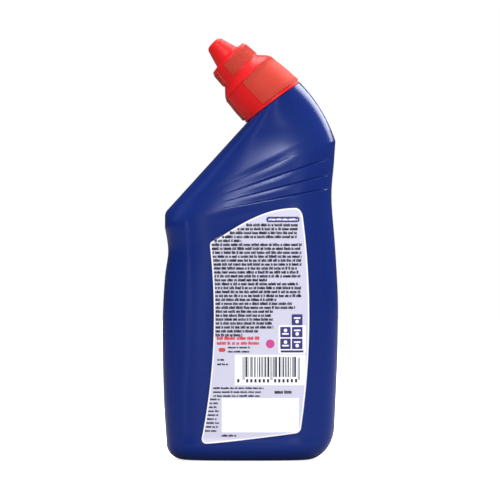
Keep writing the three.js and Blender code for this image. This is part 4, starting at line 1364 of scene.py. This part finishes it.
@dataclass(frozen=True)
class Studio:
    """Floor, world, lamps and camera."""

    distance: float = 1.5
    pixel: float = 0.515
    image: int = 500
    middle_x: float = -0.00015
    middle_z: float = 0.1074
    ambient: float = 1.12
    dim_share: float = 0.15
    bright_share: float = 1.5
    mirrored: float = 0.06
    floor_glow: float = 0.8
    floor_unseen: tuple[float, float, float, float] = (0.2, 0.2, 0.22, 1.0)
    floor_seen: tuple[float, float, float, float] = (0.82, 0.82, 0.83, 1.0)
    bright_side: tuple[float, float, float] = (0.62, -0.5, 0.6)

    def camera(self) -> None:
        """The camera at the photograph's level view."""
        data = bpy.data.cameras.new("camera")
        data.sensor_width = 36
        data.lens = 36 * self.distance / (self.pixel * self.image * MM)
        made = bpy.data.objects.new("camera", data)
        made.location = (self.middle_x, -self.distance, self.middle_z)
        made.rotation_euler = (math.pi / 2, 0, 0)
        bpy.context.scene.collection.objects.link(made)
        bpy.context.scene.camera = made

    def world(self) -> None:
        """A white backdrop for the camera, and a soft dim surround for everything else."""
        world = bpy.data.worlds.new("studio")
        world.use_nodes = True
        nodes, link = world.node_tree.nodes, world.node_tree.links.new
        back = nodes["Background"]
        path, seen = nodes.new("ShaderNodeLightPath"), nodes.new("ShaderNodeMath")
        seen.operation = "MAXIMUM"
        link(path.outputs["Is Camera Ray"], seen.inputs[0])
        link(path.outputs["Is Transmission Ray"], seen.inputs[1])
        around, strength = nodes.new("ShaderNodeMapRange"), nodes.new("ShaderNodeMapRange")
        around.inputs["To Max"].default_value = self.mirrored
        strength.inputs["To Max"].default_value = 1.0
        link(path.outputs["Is Glossy Ray"], around.inputs["Value"])
        link(seen.outputs[0], strength.inputs["Value"])
        link(around.outputs["Result"], strength.inputs["To Min"])
        link(strength.outputs["Result"], back.inputs["Strength"])
        back.inputs["Color"].default_value = (1, 1, 1, 1)
        aim, facing, fall = (nodes.new(f"ShaderNode{kind}")
                             for kind in ("TexCoord", "VectorMath", "MapRange"))
        facing.operation = "DOT_PRODUCT"
        facing.inputs[1].default_value = Vector(self.bright_side).normalized()
        fall.inputs["From Min"].default_value = -1.0
        fall.inputs["To Min"].default_value = self.dim_share * self.ambient
        fall.inputs["To Max"].default_value = self.bright_share * self.ambient
        link(aim.outputs["Generated"], facing.inputs[0])
        link(facing.outputs["Value"], fall.inputs["Value"])
        link(fall.outputs["Result"], around.inputs["To Min"])
        bpy.context.scene.world = world

    def floor(self) -> None:
        """A pale floor that keeps the shadow."""
        bpy.ops.mesh.primitive_circle_add(vertices=96, radius=3.0, fill_type="NGON", location=(0, 0, -0.0003))
        floor = bpy.context.active_object
        floor.name = "floor"
        material = bpy.data.materials.new("pale_floor")
        material.use_nodes = True
        nodes, link = material.node_tree.nodes, material.node_tree.links.new
        body = nodes["Principled BSDF"]
        body.inputs["Roughness"].default_value = 0.7
        seen = nodes.new("ShaderNodeMix")
        seen.data_type = "RGBA"
        seen.inputs["A"].default_value = self.floor_unseen
        seen.inputs["B"].default_value = self.floor_seen
        path, glow = nodes.new("ShaderNodeLightPath"), nodes.new("ShaderNodeMath")
        glow.operation = "MULTIPLY"
        glow.inputs[1].default_value = self.floor_glow
        link(path.outputs["Is Camera Ray"], glow.inputs[0])
        link(path.outputs["Is Camera Ray"], seen.inputs["Factor"])
        link(next(socket for socket in seen.outputs if socket.enabled), body.inputs["Base Color"])
        body.inputs["Emission Color"].default_value = (1, 1, 1, 1)
        link(glow.outputs[0], body.inputs["Emission Strength"])
        floor.data.materials.append(material)

    def build(self) -> None:
        """Everything round the bottle."""
        bpy.context.scene.view_settings.view_transform = "Standard"
        self.camera()
        self.world()
        self.floor()
        for lamp in LAMPS:
            lamp.build()


def main() -> None:
    """Build every piece in order and report each one."""
    logging.basicConfig(level=logging.INFO, format="%(message)s")
    form = BottleForm()
    Bottle(form).build()
    for side, finish, printed in ((-1, BACK_FILM, BackPrint), (1, FRONT_FILM, FrontPrint)):
        label = Label(form, side)
        film = label.film()
        node = "back_label" if side < 0 else "front_label"
        dress(film, finish.make(), "bottle", f"{node}_film", node)
        printed(label).build()
    Cap().build()
    finish_inner_pieces()
    Studio().build()


if __name__ == "__main__":
    main()
